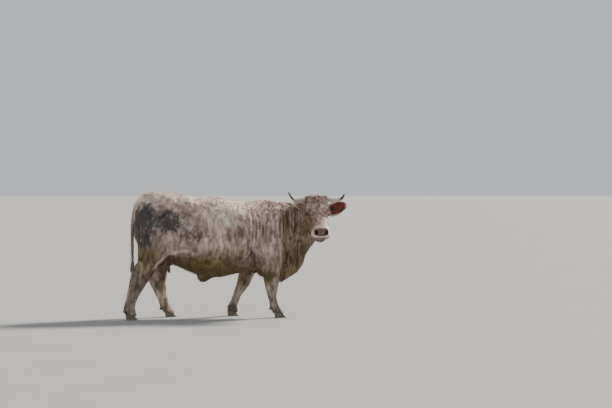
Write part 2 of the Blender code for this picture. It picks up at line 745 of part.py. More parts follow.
# ------------------------------------------------------------------ parting
# Outlines in X and Z, counter-clockwise, of the regions that become head, neck and limbs.
HEAD_REGION = ((-1.5, 9), (9.5, -33), (62, -33), (62, 9))
NECK_REGION = ((81, 160), (89, 36), (150, 36), (150, 160))
LIMB_REGIONS = {
    "hind_right": ((-120, -5), (-34, -5), (-34, 76), (-50, 100), (-88, 122), (-120, 122)),
    "hind_left": ((-120, -5), (-26, -5), (-26, 76), (-42, 100), (-88, 122), (-120, 122)),
    "fore_right": ((50, -5), (98, -5), (98, 80), (88, 94), (72, 98), (60, 90), (52, 74), (50, 60)),
    "fore_left": ((15, -5), (62, -5), (86, 60), (88, 84), (76, 97), (62, 97), (46, 72), (31, 48), (20, 30)),
}
INNER_WALL = {"hind": 6.5, "fore": 11.0}
OUTER_WALL = 60
HEAD_WALL = 30
NECK_WALLS = (-80, 60)


def centre_over_origin(collection):
    """Slides the whole cow on the floor, until its box is centred over the origin."""
    corners = [vert.co for obj in collection.objects for vert in obj.data.vertices]
    across = [(min(c[i] for c in corners) + max(c[i] for c in corners)) / 2 for i in range(2)]
    for obj in collection.objects:
        obj.data.transform(Matrix.Translation((-across[0], -across[1], 0)))


def main():
    clear_scene()
    cow = new_collection("cow")
    cutters = new_collection("cutters", hidden=True)
    trunk = build_flesh(cow)

    matrix = head_matrix()
    grown_out = []
    for limb in STRIDE:
        grown_out += [*build_foot(limb, cow), *build_dewclaws(limb, cow)]
    for side_name in ("left", "right"):
        horn, ear = build_horn(side_name, cow), build_ear(side_name, cow)
        grown_out += [build_eye(side_name, cow), horn, ear]
    tail, switch = tube("tail", TAIL_LINE, cow, HIDE), tube("tail_switch", SWITCH_LINE, cow, SWITCH)
    seat(switch, tail, cutters)
    grown_out += [tail, build_udder(cow)]
    for piece in grown_out:
        seat(piece, trunk, cutters)
    cut_face(trunk, cutters)

    carve(trunk, "head", (HEAD_REGION, -HEAD_WALL, HEAD_WALL, matrix), cow, cutters)
    carve(trunk, "neck", (NECK_REGION, *NECK_WALLS), cow, cutters)
    for limb in STRIDE:
        kind, side_name = limb.split("_")
        side = 1 if side_name == "left" else -1
        walls = sorted((side * INNER_WALL[kind], side * OUTER_WALL))
        carve(trunk, f"leg_{limb}", (LIMB_REGIONS[limb], *walls), cow, cutters)
    trunk.name = "trunk"

    centre_over_origin(cow)
    for obj in list(cutters.objects):
        bpy.data.objects.remove(obj)


main()
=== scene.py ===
"""Looks of the standing cream-white cow: one skin, its coat, eyes, horns and hooves, in a pale studio.

Metres, +Z up, in the frame of the CAD model. The cow faces +X and turns its head to its right, -Y.
The skin is grown from the flesh nodes, smoothed, folded and sunk by the depth of the coat. Locks of
hair are rooted on it and follow the lie of the coat. Skin and locks share the same marks, with
painted light and shade among them.
"""

from math import cos, pi, radians, sin
from types import SimpleNamespace

import bmesh
import bpy
import numpy as np
from mathutils import Matrix, Vector


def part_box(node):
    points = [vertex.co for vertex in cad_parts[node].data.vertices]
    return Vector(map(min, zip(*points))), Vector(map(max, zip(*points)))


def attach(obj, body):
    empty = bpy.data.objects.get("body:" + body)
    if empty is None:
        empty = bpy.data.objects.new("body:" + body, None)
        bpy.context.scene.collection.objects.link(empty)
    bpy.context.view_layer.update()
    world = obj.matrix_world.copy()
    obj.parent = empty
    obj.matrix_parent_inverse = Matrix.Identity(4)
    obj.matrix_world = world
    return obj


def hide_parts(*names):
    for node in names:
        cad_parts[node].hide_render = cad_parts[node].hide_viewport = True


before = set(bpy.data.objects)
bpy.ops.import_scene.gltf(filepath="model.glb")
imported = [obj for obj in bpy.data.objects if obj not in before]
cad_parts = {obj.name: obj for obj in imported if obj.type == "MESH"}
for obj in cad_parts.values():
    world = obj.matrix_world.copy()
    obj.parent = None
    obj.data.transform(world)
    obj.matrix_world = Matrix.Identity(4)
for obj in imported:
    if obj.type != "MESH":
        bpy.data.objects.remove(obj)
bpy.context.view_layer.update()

FLESH = (
    "trunk neck head leg_fore_left leg_fore_right leg_hind_left leg_hind_right tail udder "
    "ear_left ear_right"
).split()
FEET = [f"{end}_{side}" for end in ("hind", "fore") for side in ("right", "left")]
SKIN_FACES = 196000  # triangles in the finished skin
VOXEL = 0.0042
SEEDS = np.random.RandomState(7)

# ------------------------------------------------------------------ the head's own axes
HEAD_HEADING = radians(-92.0)
HEAD_PITCH = radians(45.0)
EYE_ALONG, EYE_UP = 0.205, -0.054
MOUTH_UP = -0.128
SIDES = {"left": 1, "right": -1}


def middle(node):
    low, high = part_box(node)
    return (low + high) / 2


HEAD_TURN = Matrix.Rotation(HEAD_HEADING, 3, "Z") @ Matrix.Rotation(HEAD_PITCH, 3, "Y")
BETWEEN_EYES = (middle("eye_left") + middle("eye_right")) / 2
POLL = BETWEEN_EYES - HEAD_TURN @ Vector((EYE_ALONG, 0, EYE_UP))
TURN = np.array(HEAD_TURN)
MIDDLE_Y = (middle("leg_hind_left").y + middle("leg_hind_right").y) / 2
START_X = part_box("trunk")[0].x + 1.129  # where x is 0 in the numbers below, a little behind the elbows


def body_axes(points):
    """x, y and z of each point, with x measured from START_X."""
    return points[:, 0] - START_X, points[:, 1], points[:, 2]


def to_head(points):
    """Along from poll to muzzle, out to the cow's left, up out of the forehead."""
    return (points - np.array(POLL)) @ TURN


# ------------------------------------------------------------------ numbers
def ramp(values, low, high):
    """0 below low, 1 above high, smooth between; low may be the greater."""
    share = np.clip((values - low) / (high - low), 0.0, 1.0)
    return share * share * (3 - 2 * share)


def near(points, centre, size):
    """1 at the centre of an ellipsoid, falling smoothly to 0 at about 1.5 times its size."""
    gap = (points - np.array(centre)) / np.array(size)
    return np.exp(-(gap**2).sum(-1) * 1.4)


def lattice(x, y, z, seed):
    n = (x * 374761393 + y * 668265263 + z * 2147483647 + seed * 1013904223) & 0xFFFFFFFF
    n = ((n ^ (n >> 13)) * 1274126177) & 0xFFFFFFFF
    return ((n ^ (n >> 16)) & 0xFFFF) / 65535.0


def noise(points, scale, seed=0):
    """Smooth noise from 0 to 1, scale cells to the metre along each axis."""
    places = points * np.array(scale)
    base = np.floor(places).astype(np.int64)
    part = places - base
    part = part * part * (3 - 2 * part)
    total = np.zeros(len(points))
    for corner in np.ndindex(2, 2, 2):
        share = np.ones(len(points))
        for axis, step in enumerate(corner):
            share = share * (part[:, axis] if step else 1 - part[:, axis])
        total += share * lattice(*(base + corner).T, seed)
    return total


def fractal(points, scale, seed=0, octaves=3):
    total, size = np.zeros(len(points)), 0.0
    for octave in range(octaves):
        weight = 0.5**octave
        total += weight * noise(points, np.array(scale) * 2.0**octave, seed + octave)
        size += weight
    return total / size


def waves(along, length):
    return np.sin(along * 2 * pi / length)


def unit(ways):
    return ways / np.maximum(np.linalg.norm(ways, axis=-1, keepdims=True), 1e-9)


def swung(first, second, angle):
    """The first way, swung to the second by each angle."""
    return first * np.cos(angle)[..., None] + second * np.sin(angle)[..., None]


# ------------------------------------------------------------------ regions of the body
def regions(points):
    """How much each point belongs to head, neck and shoulder, legs and so on, from 0 to 1."""
    head = to_head(points)
    x, y, z = body_axes(points)
    on_head = ramp(head[:, 0], -0.035, 0.02) * ramp(np.abs(head[:, 1]), 0.19, 0.155)
    on_head *= ramp(head[:, 2], -0.33, -0.27)
    ears = np.maximum(*(ear_sheet(head, side)[0] for side in SIDES))
    on_head *= 1 - ears
    return SimpleNamespace(
        head=head,
        right=ramp(y, MIDDLE_Y + 0.02, MIDDLE_Y - 0.1),
        on_head=on_head,
        ears=ears,
        legs=ramp(z, 0.62, 0.42),
        front=ramp(x, 0.02, 0.16) * ramp(z, 0.42, 0.62),
        neck=ramp(x, 0.5, 0.6) * ramp(z, 0.4, 0.55) * (1 - on_head),
    )


# ------------------------------------------------------------------ marks and painted light and shade, shared by skin and coat
def streaks(points):
    """Upright wavy bands in the coat of neck and shoulder, 0 in the furrows and 1 on the ridges."""
    sway = 0.05 * (noise(points, (3, 3, 3.5), 11) - 0.5)
    shifted = points + np.column_stack((sway, sway, 0 * sway))
    wide = noise(shifted, (40, 30, 3.2), 21)
    fine = noise(shifted, (98, 78, 7.5), 22)
    return ramp(0.42 * wide + 0.58 * fine, 0.34, 0.64)


def ruffle(points):
    """Light and dark of the small clumps of the coat, about -0.5 to 0.5."""
    fine, broad = noise(points, (62, 50, 20), 81), noise(points, (27, 24, 12), 82)
    return (0.85 * (fine - 0.5) + 0.4 * (broad - 0.5)) * (1 + 0.8 * ramp(points[:, 2], 0.85, 0.65))


def arm_share(x, z):
    """1 on the smooth arm below the shoulder, 0 elsewhere."""
    return ramp(z, 1.02, 0.86) * ramp(x, 0.6, 0.54) * ramp(x, 0.2, 0.26)


def patches(points, spots):
    """Sum of soft spots, each a middle, a size and a strength, in X and Z only."""
    here = np.column_stack(body_axes(points)[::2])
    total = np.zeros(len(points))
    for x, z, long, high, strength in spots:
        total += strength * near(here, (x, z), (long, high))
    return total


# Middle x and z, half length, half height, strength, on each side of the body.
DIRT_RIGHT = (
    (-1.01, 1.28, 0.09, 0.08, 1.15),
    (-0.87, 1.2, 0.13, 0.09, 0.95),
    (-0.76, 1.08, 0.12, 0.07, 1.25),
    (-0.95, 1.11, 0.1, 0.09, 0.85),
    (-0.66, 1.19, 0.2, 0.12, 0.62),
    (-1.08, 1.12, 0.1, 0.17, 0.8),
    (-1.16, 1.17, 0.06, 0.15, 1.0),
    (-1.15, 0.94, 0.05, 0.12, 0.55),
    (-1.05, 0.93, 0.12, 0.13, 0.8),
    (-0.84, 0.96, 0.14, 0.09, 0.4),
    (-0.52, 0.97, 0.22, 0.15, 0.6),
    (-0.3, 0.7, 0.25, 0.06, 0.28),
)
DIRT_LEFT = (
    (-0.95, 1.1, 0.15, 0.16, 0.6),
    (-0.74, 0.92, 0.17, 0.1, 0.5),
    (-1.15, 1.08, 0.06, 0.18, 0.65),
)
RUST_SPOTS = (
    (-0.4, 0.95, 0.12, 0.08, 0.8),
    (-0.05, 0.95, 0.16, 0.1, 1.0),
    (0.04, 0.75, 0.035, 0.07, 1.5),
    (0.13, 0.9, 0.04, 0.12, 1.1),
    (-0.63, 1.23, 0.17, 0.12, 1.0),
    (-0.5, 0.94, 0.2, 0.14, 0.8),
    (-0.33, 1.3, 0.16, 0.08, 0.5),
)
# Painted highlights where bone or a fold lifts the hair and catches the light: hook bone, rear edge of the
# shoulder, front of the arm.
HIGHLIGHT_LINES = (
    (-0.505, 1.335, 0.02, 0.065, 1.4),
    (0.168, 1.15, 0.012, 0.14, 1.0),
    (0.255, 0.98, 0.013, 0.09, 0.8),
    (0.525, 0.72, 0.013, 0.16, 0.7),
)
CREAM_SPOTS = (
    (-0.12, 0.8, 0.2, 0.06, 0.55),
    (-0.72, 0.86, 0.09, 0.07, 0.35),
    (0.42, 0.8, 0.09, 0.18, 0.35),
    (-0.2, 1.12, 0.24, 0.17, 0.7),
    (0.1, 1.3, 0.24, 0.1, 0.5),
    (-0.16, 0.86, 0.22, 0.08, 0.35),
)


def marks_and_painted_light(points):
    """Shares of rusty brown, olive, dark dirt and bright cream at each point; the brown, olive and dark
    shares also hold painted shade, and the cream painted highlights.
    """
    area = regions(points)
    head, right = area.head, area.right
    x, y, z = body_axes(points)
    off_head = 1 - area.on_head
    bands = streaks(points)
    fleck, blotch = noise(points, 55, 31), fractal(points, 7, 32)
    # rusty brown: spots and blotches on the ribs, and the furrows of neck and shoulder, partly brown
    # streaks and partly painted shade
    brown_and_shade = area.front * (1 - bands) * (0.3 + 0.55 * area.neck) * (0.55 + 0.45 * right)
    brown_and_shade *= 1 - 0.6 * arm_share(x, z)
    # painted shadow of the head and ears on the neck behind them
    brown_and_shade += 0.55 * area.neck * ramp(x, 0.62, 0.8) * ramp(z, 1.06, 1.18) * (0.6 + 0.4 * blotch)
    brown_and_shade += patches(points, RUST_SPOTS) * ramp(fractal(points, (38, 38, 24), 43), 0.42, 0.66)
    brown_and_shade += 0.3 * ramp(blotch, 0.4, 0.66) * ramp(z, 0.55, 0.75)
    # the same furrows, fainter, on the ribs: partly brown streaks and partly painted shade
    brown_and_shade += 0.2 * (1 - bands) * ramp(x, -0.5, 0.0) * ramp(z, 1.3, 1.1) * ramp(z, 0.6, 0.8)
    # painted shade in the crease behind the shoulder and elbow, and brown blotches on the legs
    brown_and_shade += 0.9 * crease_line(points, area) + 0.12 * area.legs * ramp(blotch, 0.4, 0.6)
    # dirt: the dark haunch and buttock, and splashes above the hooves; painted shade in the crease behind
    # the elbow
    tail = tail_share(points)
    buttock = ramp(y, MIDDLE_Y + 0.05, MIDDLE_Y - 0.01) * ramp(x, -1.02, -1.1) * (1 - tail)
    side = np.maximum(right, buttock)
    haunch = side * patches(points, DIRT_RIGHT) + (1 - side) * patches(points, DIRT_LEFT)
    mottled = 0.9 * (fractal(points, (19, 19, 14), 34) - 0.5)
    mottled += 1.5 * (noise(points, (72, 72, 50), 40) - 0.5)
    # dirt on the haunch, and painted shade in the crease behind the elbow
    dirt_and_shade = haunch * (1.0 + mottled) + 0.6 * crease_line(points, area)
    dirt_and_shade += 0.45 * ramp(z, 0.17, 0.07) * fleck
    dirt_and_shade += 0.22 * ramp(z, 0.62, 0.52) * ramp(fractal(points, 12, 35), 0.5, 0.7)
    # painted shade in the crease behind the shoulder, above the elbow, on the seen side
    brown_and_shade += 0.4 * patches(points, ((0.14, 1.13, 0.012, 0.14, 1.0),)) * right
    # painted highlights on the seen side, which clear the brown and the dark there
    highlight_lines = patches(points, HIGHLIGHT_LINES) * right
    brown_and_shade, dirt_and_shade = brown_and_shade * (1 - 0.75 * highlight_lines), dirt_and_shade * (1 - 0.75 * highlight_lines)
    # olive: painted shade and painted green bounce light on the low parts of neck, belly and thigh
    knee = 0.1 * (blotch - 0.5)
    olive_stain_and_shade = 0.95 * ramp(z, 0.86, 0.58) * ramp(z + knee, 0.3, 0.56) * (0.6 + 0.4 * blotch)
    rear = ramp(x, -0.72, -0.88)
    olive_stain_and_shade *= 1 - 0.65 * rear * ramp(z, 0.8, 0.6)
    leg_stain_and_shade = 0.2 + 0.3 * ramp(fractal(points, (14, 14, 9), 38), 0.42, 0.62)
    # on the legs: olive, partly stain and partly painted shade
    olive_stain_and_shade += area.legs * leg_stain_and_shade * (1 - 0.85 * rear)
    olive_stain_and_shade += 0.35 * ramp(z, 1.0, 0.74) * ramp(x, 0.1, -0.1)
    olive_stain_and_shade += area.neck * ramp(z, 1.36, 1.0) * (0.55 + 0.45 * (1 - bands)) * (1 - 0.35 * ramp(z, 0.75, 0.6))
    olive_stain_and_shade += 0.34 * ramp(x, -0.8, -1.0) * ramp(z, 1.1, 0.85) * ramp(z, 0.5, 0.7)
    dirt_and_shade += 0.22 * ramp(x, -0.75, -0.95) * ramp(z, 1.0, 0.8) * right
    olive_stain_and_shade *= 1 - 0.3 * ramp(x, 0.35, 0.5) * ramp(z, 0.78, 0.64)
    olive_stain_and_shade += 0.35 * area.legs * ramp(x, 0.0, 0.1) * ramp(z, 0.3, 0.5)
    dirt_and_shade += area.legs * np.where(x > 0, 0.42, 0.18)
    brown_and_shade, olive_stain_and_shade = brown_and_shade * (1 - 0.8 * tail), olive_stain_and_shade * (1 - 0.7 * tail)
    dirt_and_shade = dirt_and_shade * (1 - tail) + 0.55 * tail * ramp(z, 1.25, 1.1)
    # cream: a painted highlight along the top of the back, lighter low on the legs, pale patches and the
    # painted highlights
    cream_and_highlight = 0.32 * ramp(z, 1.22, 1.38) + 0.25 * ramp(z, 0.5, 0.3) + patches(points, CREAM_SPOTS) + highlight_lines
    # a painted highlight along the fold of the flank on the seen side, and the pale top of the tail
    fold_highlight = flank_band(points) * right
    cream_and_highlight += 0.75 * fold_highlight + 0.6 * tail * ramp(z, 1.1, 1.25)
    olive_stain_and_shade *= 1 - 0.8 * fold_highlight
    # the hidden side has less of the painted olive shade: a little brown in place of most of it above the
    # legs
    hidden_side_olive = 0.65 * olive_stain_and_shade * (1 - right) * ramp(z, 0.36, 0.5)
    olive_stain_and_shade -= hidden_side_olive
    brown_and_shade += 0.35 * hidden_side_olive
    navel = near(points, NAVEL, (0.09, 0.05, 0.045))
    olive_stain_and_shade += 0.7 * navel
    brown_and_shade += 0.4 * navel
    parts = [values * off_head * (1 - area.ears) for values in (brown_and_shade, olive_stain_and_shade, dirt_and_shade, cream_and_highlight)]
    # on the ears: mottled painted shade, and more painted shade, in brown, on the right ear
    shaded = ramp(fractal(points, 24, 39), 0.4, 0.6) * area.ears
    right_ear_shade = ramp(head[:, 1], 0, -0.05) * area.ears
    for part, share, more in zip(parts, (0.45, 0.3, 0.0, 0.15), (0.55, 0.35, 0.1, 0.0)):
        part += share * shaded + more * right_ear_shade
    for part, values in zip(parts, face_marks_and_painted_light(points, head)):
        part += values * area.on_head
    return (
        np.column_stack([np.clip(v, 0, 1) for v in parts]),
        np.column_stack([np.clip(v, 0, 1) for v in bare_parts(points, area)]),
    )


def face_marks_and_painted_light(points, head):
    """The same four shares on the head: dark curls at the poll, brown mottling, painted shade on the right
    side, round the eyes and under the jaw, and a painted highlight on the left cheek.
    """
    along, out, up = head.T
    side = np.column_stack((along, np.abs(out), up))
    curl = noise(points, 40, 36)
    brown = ramp(curl, 0.2, 0.6)
    brown_and_shade = 0.95 * ramp(along, 0.035, 0.0) * ramp(along, -0.04, -0.02) * ramp(curl, 0.25, 0.6)
    brown_and_shade += 0.8 * near(head, (0.075, 0, 0), (0.016, 0.08, 0.04)) * ramp(curl, 0.3, 0.6)
    brown_and_shade += 0.08 * ramp(along, 0.34, 0.24)
    brown_and_shade += 0.75 * ramp(fractal(points, 46, 37), 0.46, 0.6) * ramp(along, 0.44, 0.36)
    speck = ramp(noise(points, 75, 44), 0.5, 0.7) * ramp(along, 0.22, 0.28) * ramp(along, 0.45, 0.41)
    brown_and_shade += 0.55 * speck * ramp(out, 0.05, 0.02)
    # the right side of the face: brown mottling with painted shade
    brown_and_shade += 0.45 * ramp(out, -0.01, -0.07) * ramp(along, 0.1, 0.18) * ramp(along, 0.44, 0.38) * brown
    # painted shade in the hollow below the left eye, and round each eye
    brown_and_shade += 0.9 * near(head, (0.245, 0.115, -0.07), (0.02, 0.03, 0.03))
    brown_and_shade += 0.9 * near(side, (0.205, 0.125, -0.054), (0.045, 0.045, 0.032))
    # a shaded hollow down each side of the bridge
    brown_and_shade += 0.45 * near(side, (0.31, 0.085, -0.045), (0.09, 0.03, 0.035)) * ramp(curl, 0.3, 0.7)
    # painted shade down the right side of the face and under the muzzle
    brown_and_shade += 0.25 * ramp(out, -0.05, -0.1) * ramp(along, 0.12, 0.24) * ramp(along, 0.47, 0.42)
    brown_and_shade += 0.3 * near(head, (0.47, 0, -0.2), (0.06, 0.08, 0.03))
    # olive painted shade on the right side of the face, under the muzzle and along the jaw
    olive_stain_and_shade = 0.5 * ramp(out, -0.045, -0.105) * ramp(along, 0.2, 0.3) * ramp(along, 0.49, 0.44)
    olive_stain_and_shade += 0.45 * near(head, (0.46, 0, -0.2), (0.07, 0.08, 0.03))
    olive_stain_and_shade += 0.45 * ramp(up, -0.14, -0.2) * ramp(out, 0.05, -0.02) * ramp(along, 0.47, 0.42)
    # a painted highlight on the left cheek; then paler patches on the upper lip, at the back of the poll
    # and above the nose pad
    cream_and_highlight = 0.95 * ramp(out, 0.035, 0.08) * ramp(along, 0.24, 0.32)
    cream_and_highlight += 0.5 * near(side, (0.485, 0.06, -0.108), (0.05, 0.06, 0.016))
    cream_and_highlight += 0.7 * ramp(along, -0.015, -0.035)
    cream_and_highlight += 0.6 * near(head, (0.445, 0, -0.03), (0.012, 0.08, 0.03))
    # painted shade in the sockets round the eyes
    dirt_and_shade = 0.0
    for eye in ("eye_left", "eye_right"):
        dirt_and_shade = dirt_and_shade + 1.1 * near(points, np.array(middle(eye)), (0.032, 0.032, 0.026))
    # painted shade under the chin: darker, and without cream
    chin = ramp(up, -0.126, -0.136) * ramp(along, 0.34, 0.42)
    return brown_and_shade + 0.35 * chin, olive_stain_and_shade + 0.45 * chin, dirt_and_shade + 0.25 * chin, cream_and_highlight * (1 - chin)


NAVEL = np.array((START_X - 0.329, 0.083, 0.435))


def tail_share(points):
    """1 on the hanging tail, 0 elsewhere."""
    x, y, z = body_axes(points)
    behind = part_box("tail")[0].x + 0.065 + 0.09 * ramp(z, 1.22, 1.38)
    off = np.abs(y - MIDDLE_Y - 0.01)
    return ramp(x, behind + 0.01, behind) * ramp(off, 0.07, 0.05) * ramp(z, 0.6, 0.62)


def flank_band(points):
    """The fold that runs from the flank down the front of the thigh: raised in the skin and given a
    painted highlight.
    """
    x, _, z = body_axes(points)
    edge = 0.745 - 1.8 * (x + 0.63) ** 2
    return np.exp(-(((z - edge - 0.034) / 0.02) ** 2)) * ramp(x, -1.02, -0.94) * ramp(x, -0.42, -0.54)


# Height of each point of the crease behind the shoulder and elbow, and its x.
CREASE = (
    (0.47, 0.3), (0.53, 0.285), (0.61, 0.25), (0.66, 0.225), (0.74, 0.213), (0.8, 0.157), (0.95, 0.125),
)


def crease_line(points, area):
    """The furrow behind each shoulder and elbow, 1 along its middle."""
    x, _, z = body_axes(points)
    ahead = np.where(area.right > 0.5, 0.0, -0.05)
    line = x - ahead - np.interp(z, *zip(*CREASE))
    return np.exp(-((line / 0.015) ** 2)) * ramp(z, 0.46, 0.54) * ramp(z, 0.92, 0.74)


def bare_parts(points, area):
    """Shares of bare nose, bare pink udder, and the dark inside of the ear with painted shade in the
    nostrils and along the mouth line, at each point.
    """
    head = area.head
    along, out, up = head.T
    edge = 0.447 + 2.2 * out**2
    lower = -0.092 + 1.2 * out**2
    pad = ramp(along, edge, edge + 0.01) * ramp(up, lower - 0.008, lower) * ramp(np.abs(out), 0.088, 0.078)
    lips = 0.35 * near(head, (0.515, 0, -0.13), (0.03, 0.07, 0.01))
    nose = np.clip(pad + lips, 0, 1) * area.on_head
    low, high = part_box("udder")
    x, y, z = points.T
    share = ramp(z, high.z - 0.06, high.z - 0.11) * ramp(x, low.x - 0.02, low.x + 0.02)
    share *= ramp(x, high.x + 0.02, high.x - 0.01) * ramp(y, low.y - 0.02, low.y)
    pink = share * ramp(y, high.y + 0.02, high.y)
    hollow = np.maximum(*(ear_sheet(head, side)[1] for side in SIDES))
    # painted shade inside the nostrils and along the mouth line
    hollow = np.maximum(hollow, nostrils(head) * area.on_head)
    mouth = np.exp(-(((up - MOUTH_UP) / 0.005) ** 2)) * ramp(along, 0.42, 0.45) * area.on_head
    return nose, pink, np.maximum(hollow, mouth)


def nostrils(head):
    """1 inside each nostril: a wide comma that leans outwards and up."""
    along, out, up = head.T
    side = np.abs(out)
    lean = (side - 0.06) * 0.8 + (up + 0.064) * 0.6
    cross = (side - 0.06) * -0.6 + (up + 0.064) * 0.8
    return ramp((lean / 0.029) ** 2 + (cross / 0.02) ** 2, 1.15, 0.8) * ramp(along, 0.45, 0.46)


EAR_LENGTH, EAR_WIDTH = 0.255, 0.17


def ear_width(far):
    """Width of an ear at a distance from its root, and that distance as a share of its length."""
    share = np.clip(far / EAR_LENGTH, 0, 1)
    width = EAR_WIDTH * (0.6 + 0.4 * np.sin(pi * (0.12 + 0.66 * share))) * np.sqrt(1.001 - share**6)
    return width, share


def ear_sheet(head, side):
    """How much each point belongs to an ear, and to the inside of its cup, from 0 to 1."""
    root, aim, across, opening = EARS[side]
    local = head - root
    far, wide, deep = local @ aim, local @ across, local @ opening
    width, share = ear_width(far)
    bend = np.arcsin(np.clip(2 * wide / width, -0.99, 0.99))
    sheet = (0.62 - 0.38 * share) * (1 - np.cos(bend)) * width
    mine = ramp(np.abs(deep - sheet), 0.03, 0.02)
    mine *= ramp(np.abs(wide), width * 0.5 + 0.02, width * 0.46 + 0.008)
    mine *= ramp(far, 0.012, 0.035) * ramp(far, EAR_LENGTH + 0.03, EAR_LENGTH + 0.01)
    inside = mine * ramp(deep - sheet, -0.001, 0.002) * ramp(far, 0.02, 0.05) * ramp(far, 0.245, 0.228)
    inside *= ramp(np.abs(wide), width * 0.45, width * 0.4)
    return mine, inside


def ear_axes(side, root, aim, opening):
    aim = Vector((aim[0], side * aim[1], aim[2])).normalized()
    opening = Vector((opening[0], side * opening[1], opening[2]))
    across = opening.cross(aim).normalized()
    root = (root[0], side * root[1], root[2])
    return np.array(root), np.array(aim), np.array(across), np.array(aim.cross(across))


EARS = {
    "left": ear_axes(1, (0.09, 0.122, -0.11), (-0.25, 1.0, 0.1), (0.85, 0.1, 0.57)),
    "right": ear_axes(-1, (0.07, 0.122, -0.1), (0.22, 0.76, 0.5), (0.43, 0.21, -0.84)),
}


# ------------------------------------------------------------------ mesh helpers
def vectors(items, name):
    flat = np.empty(len(items) * 3)
    items.foreach_get(name, flat)
    return flat.reshape(-1, 3)


def coordinates(mesh):
    return vectors(mesh.vertices, "co")


def directions(mesh):
    return vectors(mesh.vertex_normals, "vector")


def set_coordinates(mesh, places):
    mesh.vertices.foreach_set("co", places.ravel())
    mesh.update()


def pushed(mesh, lift):
    """Moves each point along its normal."""
    set_coordinates(mesh, coordinates(mesh) + directions(mesh) * lift[:, None])


def placed(name, data):
    obj = bpy.data.objects.new(name, data)
    bpy.context.scene.collection.objects.link(obj)
    return obj


def finished(obj, look, slot, *replaced):
    """Gives a piece its material, its body and the CAD nodes that it stands for; the slot is not used."""
    obj.data.shade_smooth()
    obj.data.materials.clear()
    obj.data.materials.append(look)
    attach(obj, "root")
    if replaced:
        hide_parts(*replaced)
    return obj


def joined(nodes, swell):
    """One mesh of all the nodes, each pushed out a little so that neighbours overlap."""
    bm = bmesh.new()
    for name in nodes:
        part = bmesh.new()
        part.from_mesh(bpy.data.objects[name].data)
        bmesh.ops.remove_doubles(part, verts=part.verts, dist=1e-6)
        part.normal_update()
        push = swell.get(name, 0.0009)
        for vert, normal in [(v, v.normal.copy()) for v in part.verts]:
            vert.co += normal * push
        mesh = bpy.data.meshes.new("part")
        part.to_mesh(mesh)
        part.free()
        bm.from_mesh(mesh)
        bpy.data.meshes.remove(mesh)
    mesh = bpy.data.meshes.new("joined")
    bm.to_mesh(mesh)
    bm.free()
    return mesh


def applied(obj):
    graph = bpy.context.evaluated_depsgraph_get()
    mesh = bpy.data.meshes.new_from_object(obj.evaluated_get(graph))
    obj.modifiers.clear()
    obj.vertex_groups.clear()
    obj.data = mesh


def remeshed(name, nodes, swell, voxel):
    """A piece made of closed CAD nodes, in even small faces."""
    obj = placed(name, joined(nodes, swell))
    mod = obj.modifiers.new("join", "REMESH")
    mod.mode, mod.voxel_size = "VOXEL", voxel
    applied(obj)
    return obj


def weigh(obj, name, weights):
    group = obj.vertex_groups.new(name=name)
    steps = np.round(np.clip(weights, 0, 1) * 20).astype(int)
    for step in range(1, 21):
        chosen = np.flatnonzero(steps == step)
        if len(chosen):
            group.add(chosen.tolist(), step / 20, "REPLACE")
    return name


def relaxed(obj, name, times, weights=None):
    """Adds a modifier that smooths the piece, most where the weights are 1."""
    mod = obj.modifiers.new(name, "SMOOTH")
    mod.factor, mod.iterations = 0.5, times
    if weights is not None:
        mod.vertex_group = weigh(obj, name, weights)


def attribute(mesh, name, values):
    made = mesh.attributes.new(name, "FLOAT_COLOR", "POINT")
    made.data.foreach_set("color", np.ascontiguousarray(values, dtype=np.float32).ravel())


def mark(mesh, marks, bare, tone):
    """Writes the shared marks, painted light and shade among them, and the tone of each point on a mesh.
    """
    attribute(mesh, "marks", marks)
    attribute(mesh, "bare", np.column_stack((bare, tone)))


# ------------------------------------------------------------------ the skin
def coat_depth(points, area, bare):
    depth = 0.0075 - 0.0045 * area.on_head - 0.004 * area.legs
    depth = depth + 0.006 * area.on_head * ramp(area.head[:, 0], 0.05, 0.0)
    depth = depth * (1 - np.clip(bare[:, 0] + bare[:, 1], 0, 1)) * (1 - area.ears)
    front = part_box("tail")[1].x
    tail = ramp(points[:, 0], front - 0.1, front - 0.16)
    return depth * (1 - 0.6 * tail * ramp(points[:, 2], 1.4, 1.3))


def folds(points, area):
    """Height of skin folds and muscle relief above the smooth flesh."""
    x, _, z = body_axes(points)
    right, bands = area.right, streaks(points)
    lift = (bands - 0.55) * 0.008 * area.front * (0.35 + 0.65 * area.neck * right)
    lift += (bands - 0.5) * 0.002 * ramp(x, -0.5, 0.0) * ramp(z, 0.6, 0.8)
    lift += 0.006 * flank_band(points) * right
    # upright folds where the neck turns to the right
    swing = 0.012 * np.sin(7 * z) + 0.02 * (noise(points, 4, 41) - 0.5)
    wave = waves(x + swing, 0.068)
    where = right * ramp(x, 0.52, 0.62) * ramp(x, 0.95, 0.84) * ramp(z, 0.52, 0.68) * ramp(z, 1.34, 1.22)
    lift += where * (0.011 * wave - 0.006)
    # crease behind the elbow, and its step up to the shoulder
    lift -= 0.018 * crease_line(points, area) * (0.25 + 0.75 * right)
    lift += 0.01 * crease_line(points - np.array((0.045, 0, 0)), area) * right
    # soft ribs
    ribs = waves(x + 0.25 * (z - 0.9), 0.085)
    lift += 0.0016 * ribs * near(points, (START_X - 0.12, 0.08, 0.95), (0.3, 9, 0.2))
    lift += 0.004 * (fractal(points, 6, 42) - 0.5) * ramp(z, 0.5, 0.7)
    # the navel rises in a slope behind and before
    lift += 0.016 * near(points, NAVEL + (0.085, 0, 0.055), (0.045, 0.05, 0.04))
    lift -= 0.024 * near(points, NAVEL - (0.075, 0, 0), (0.035, 0.08, 0.035))
    return lift * (1 - area.on_head) * (1 - area.ears)


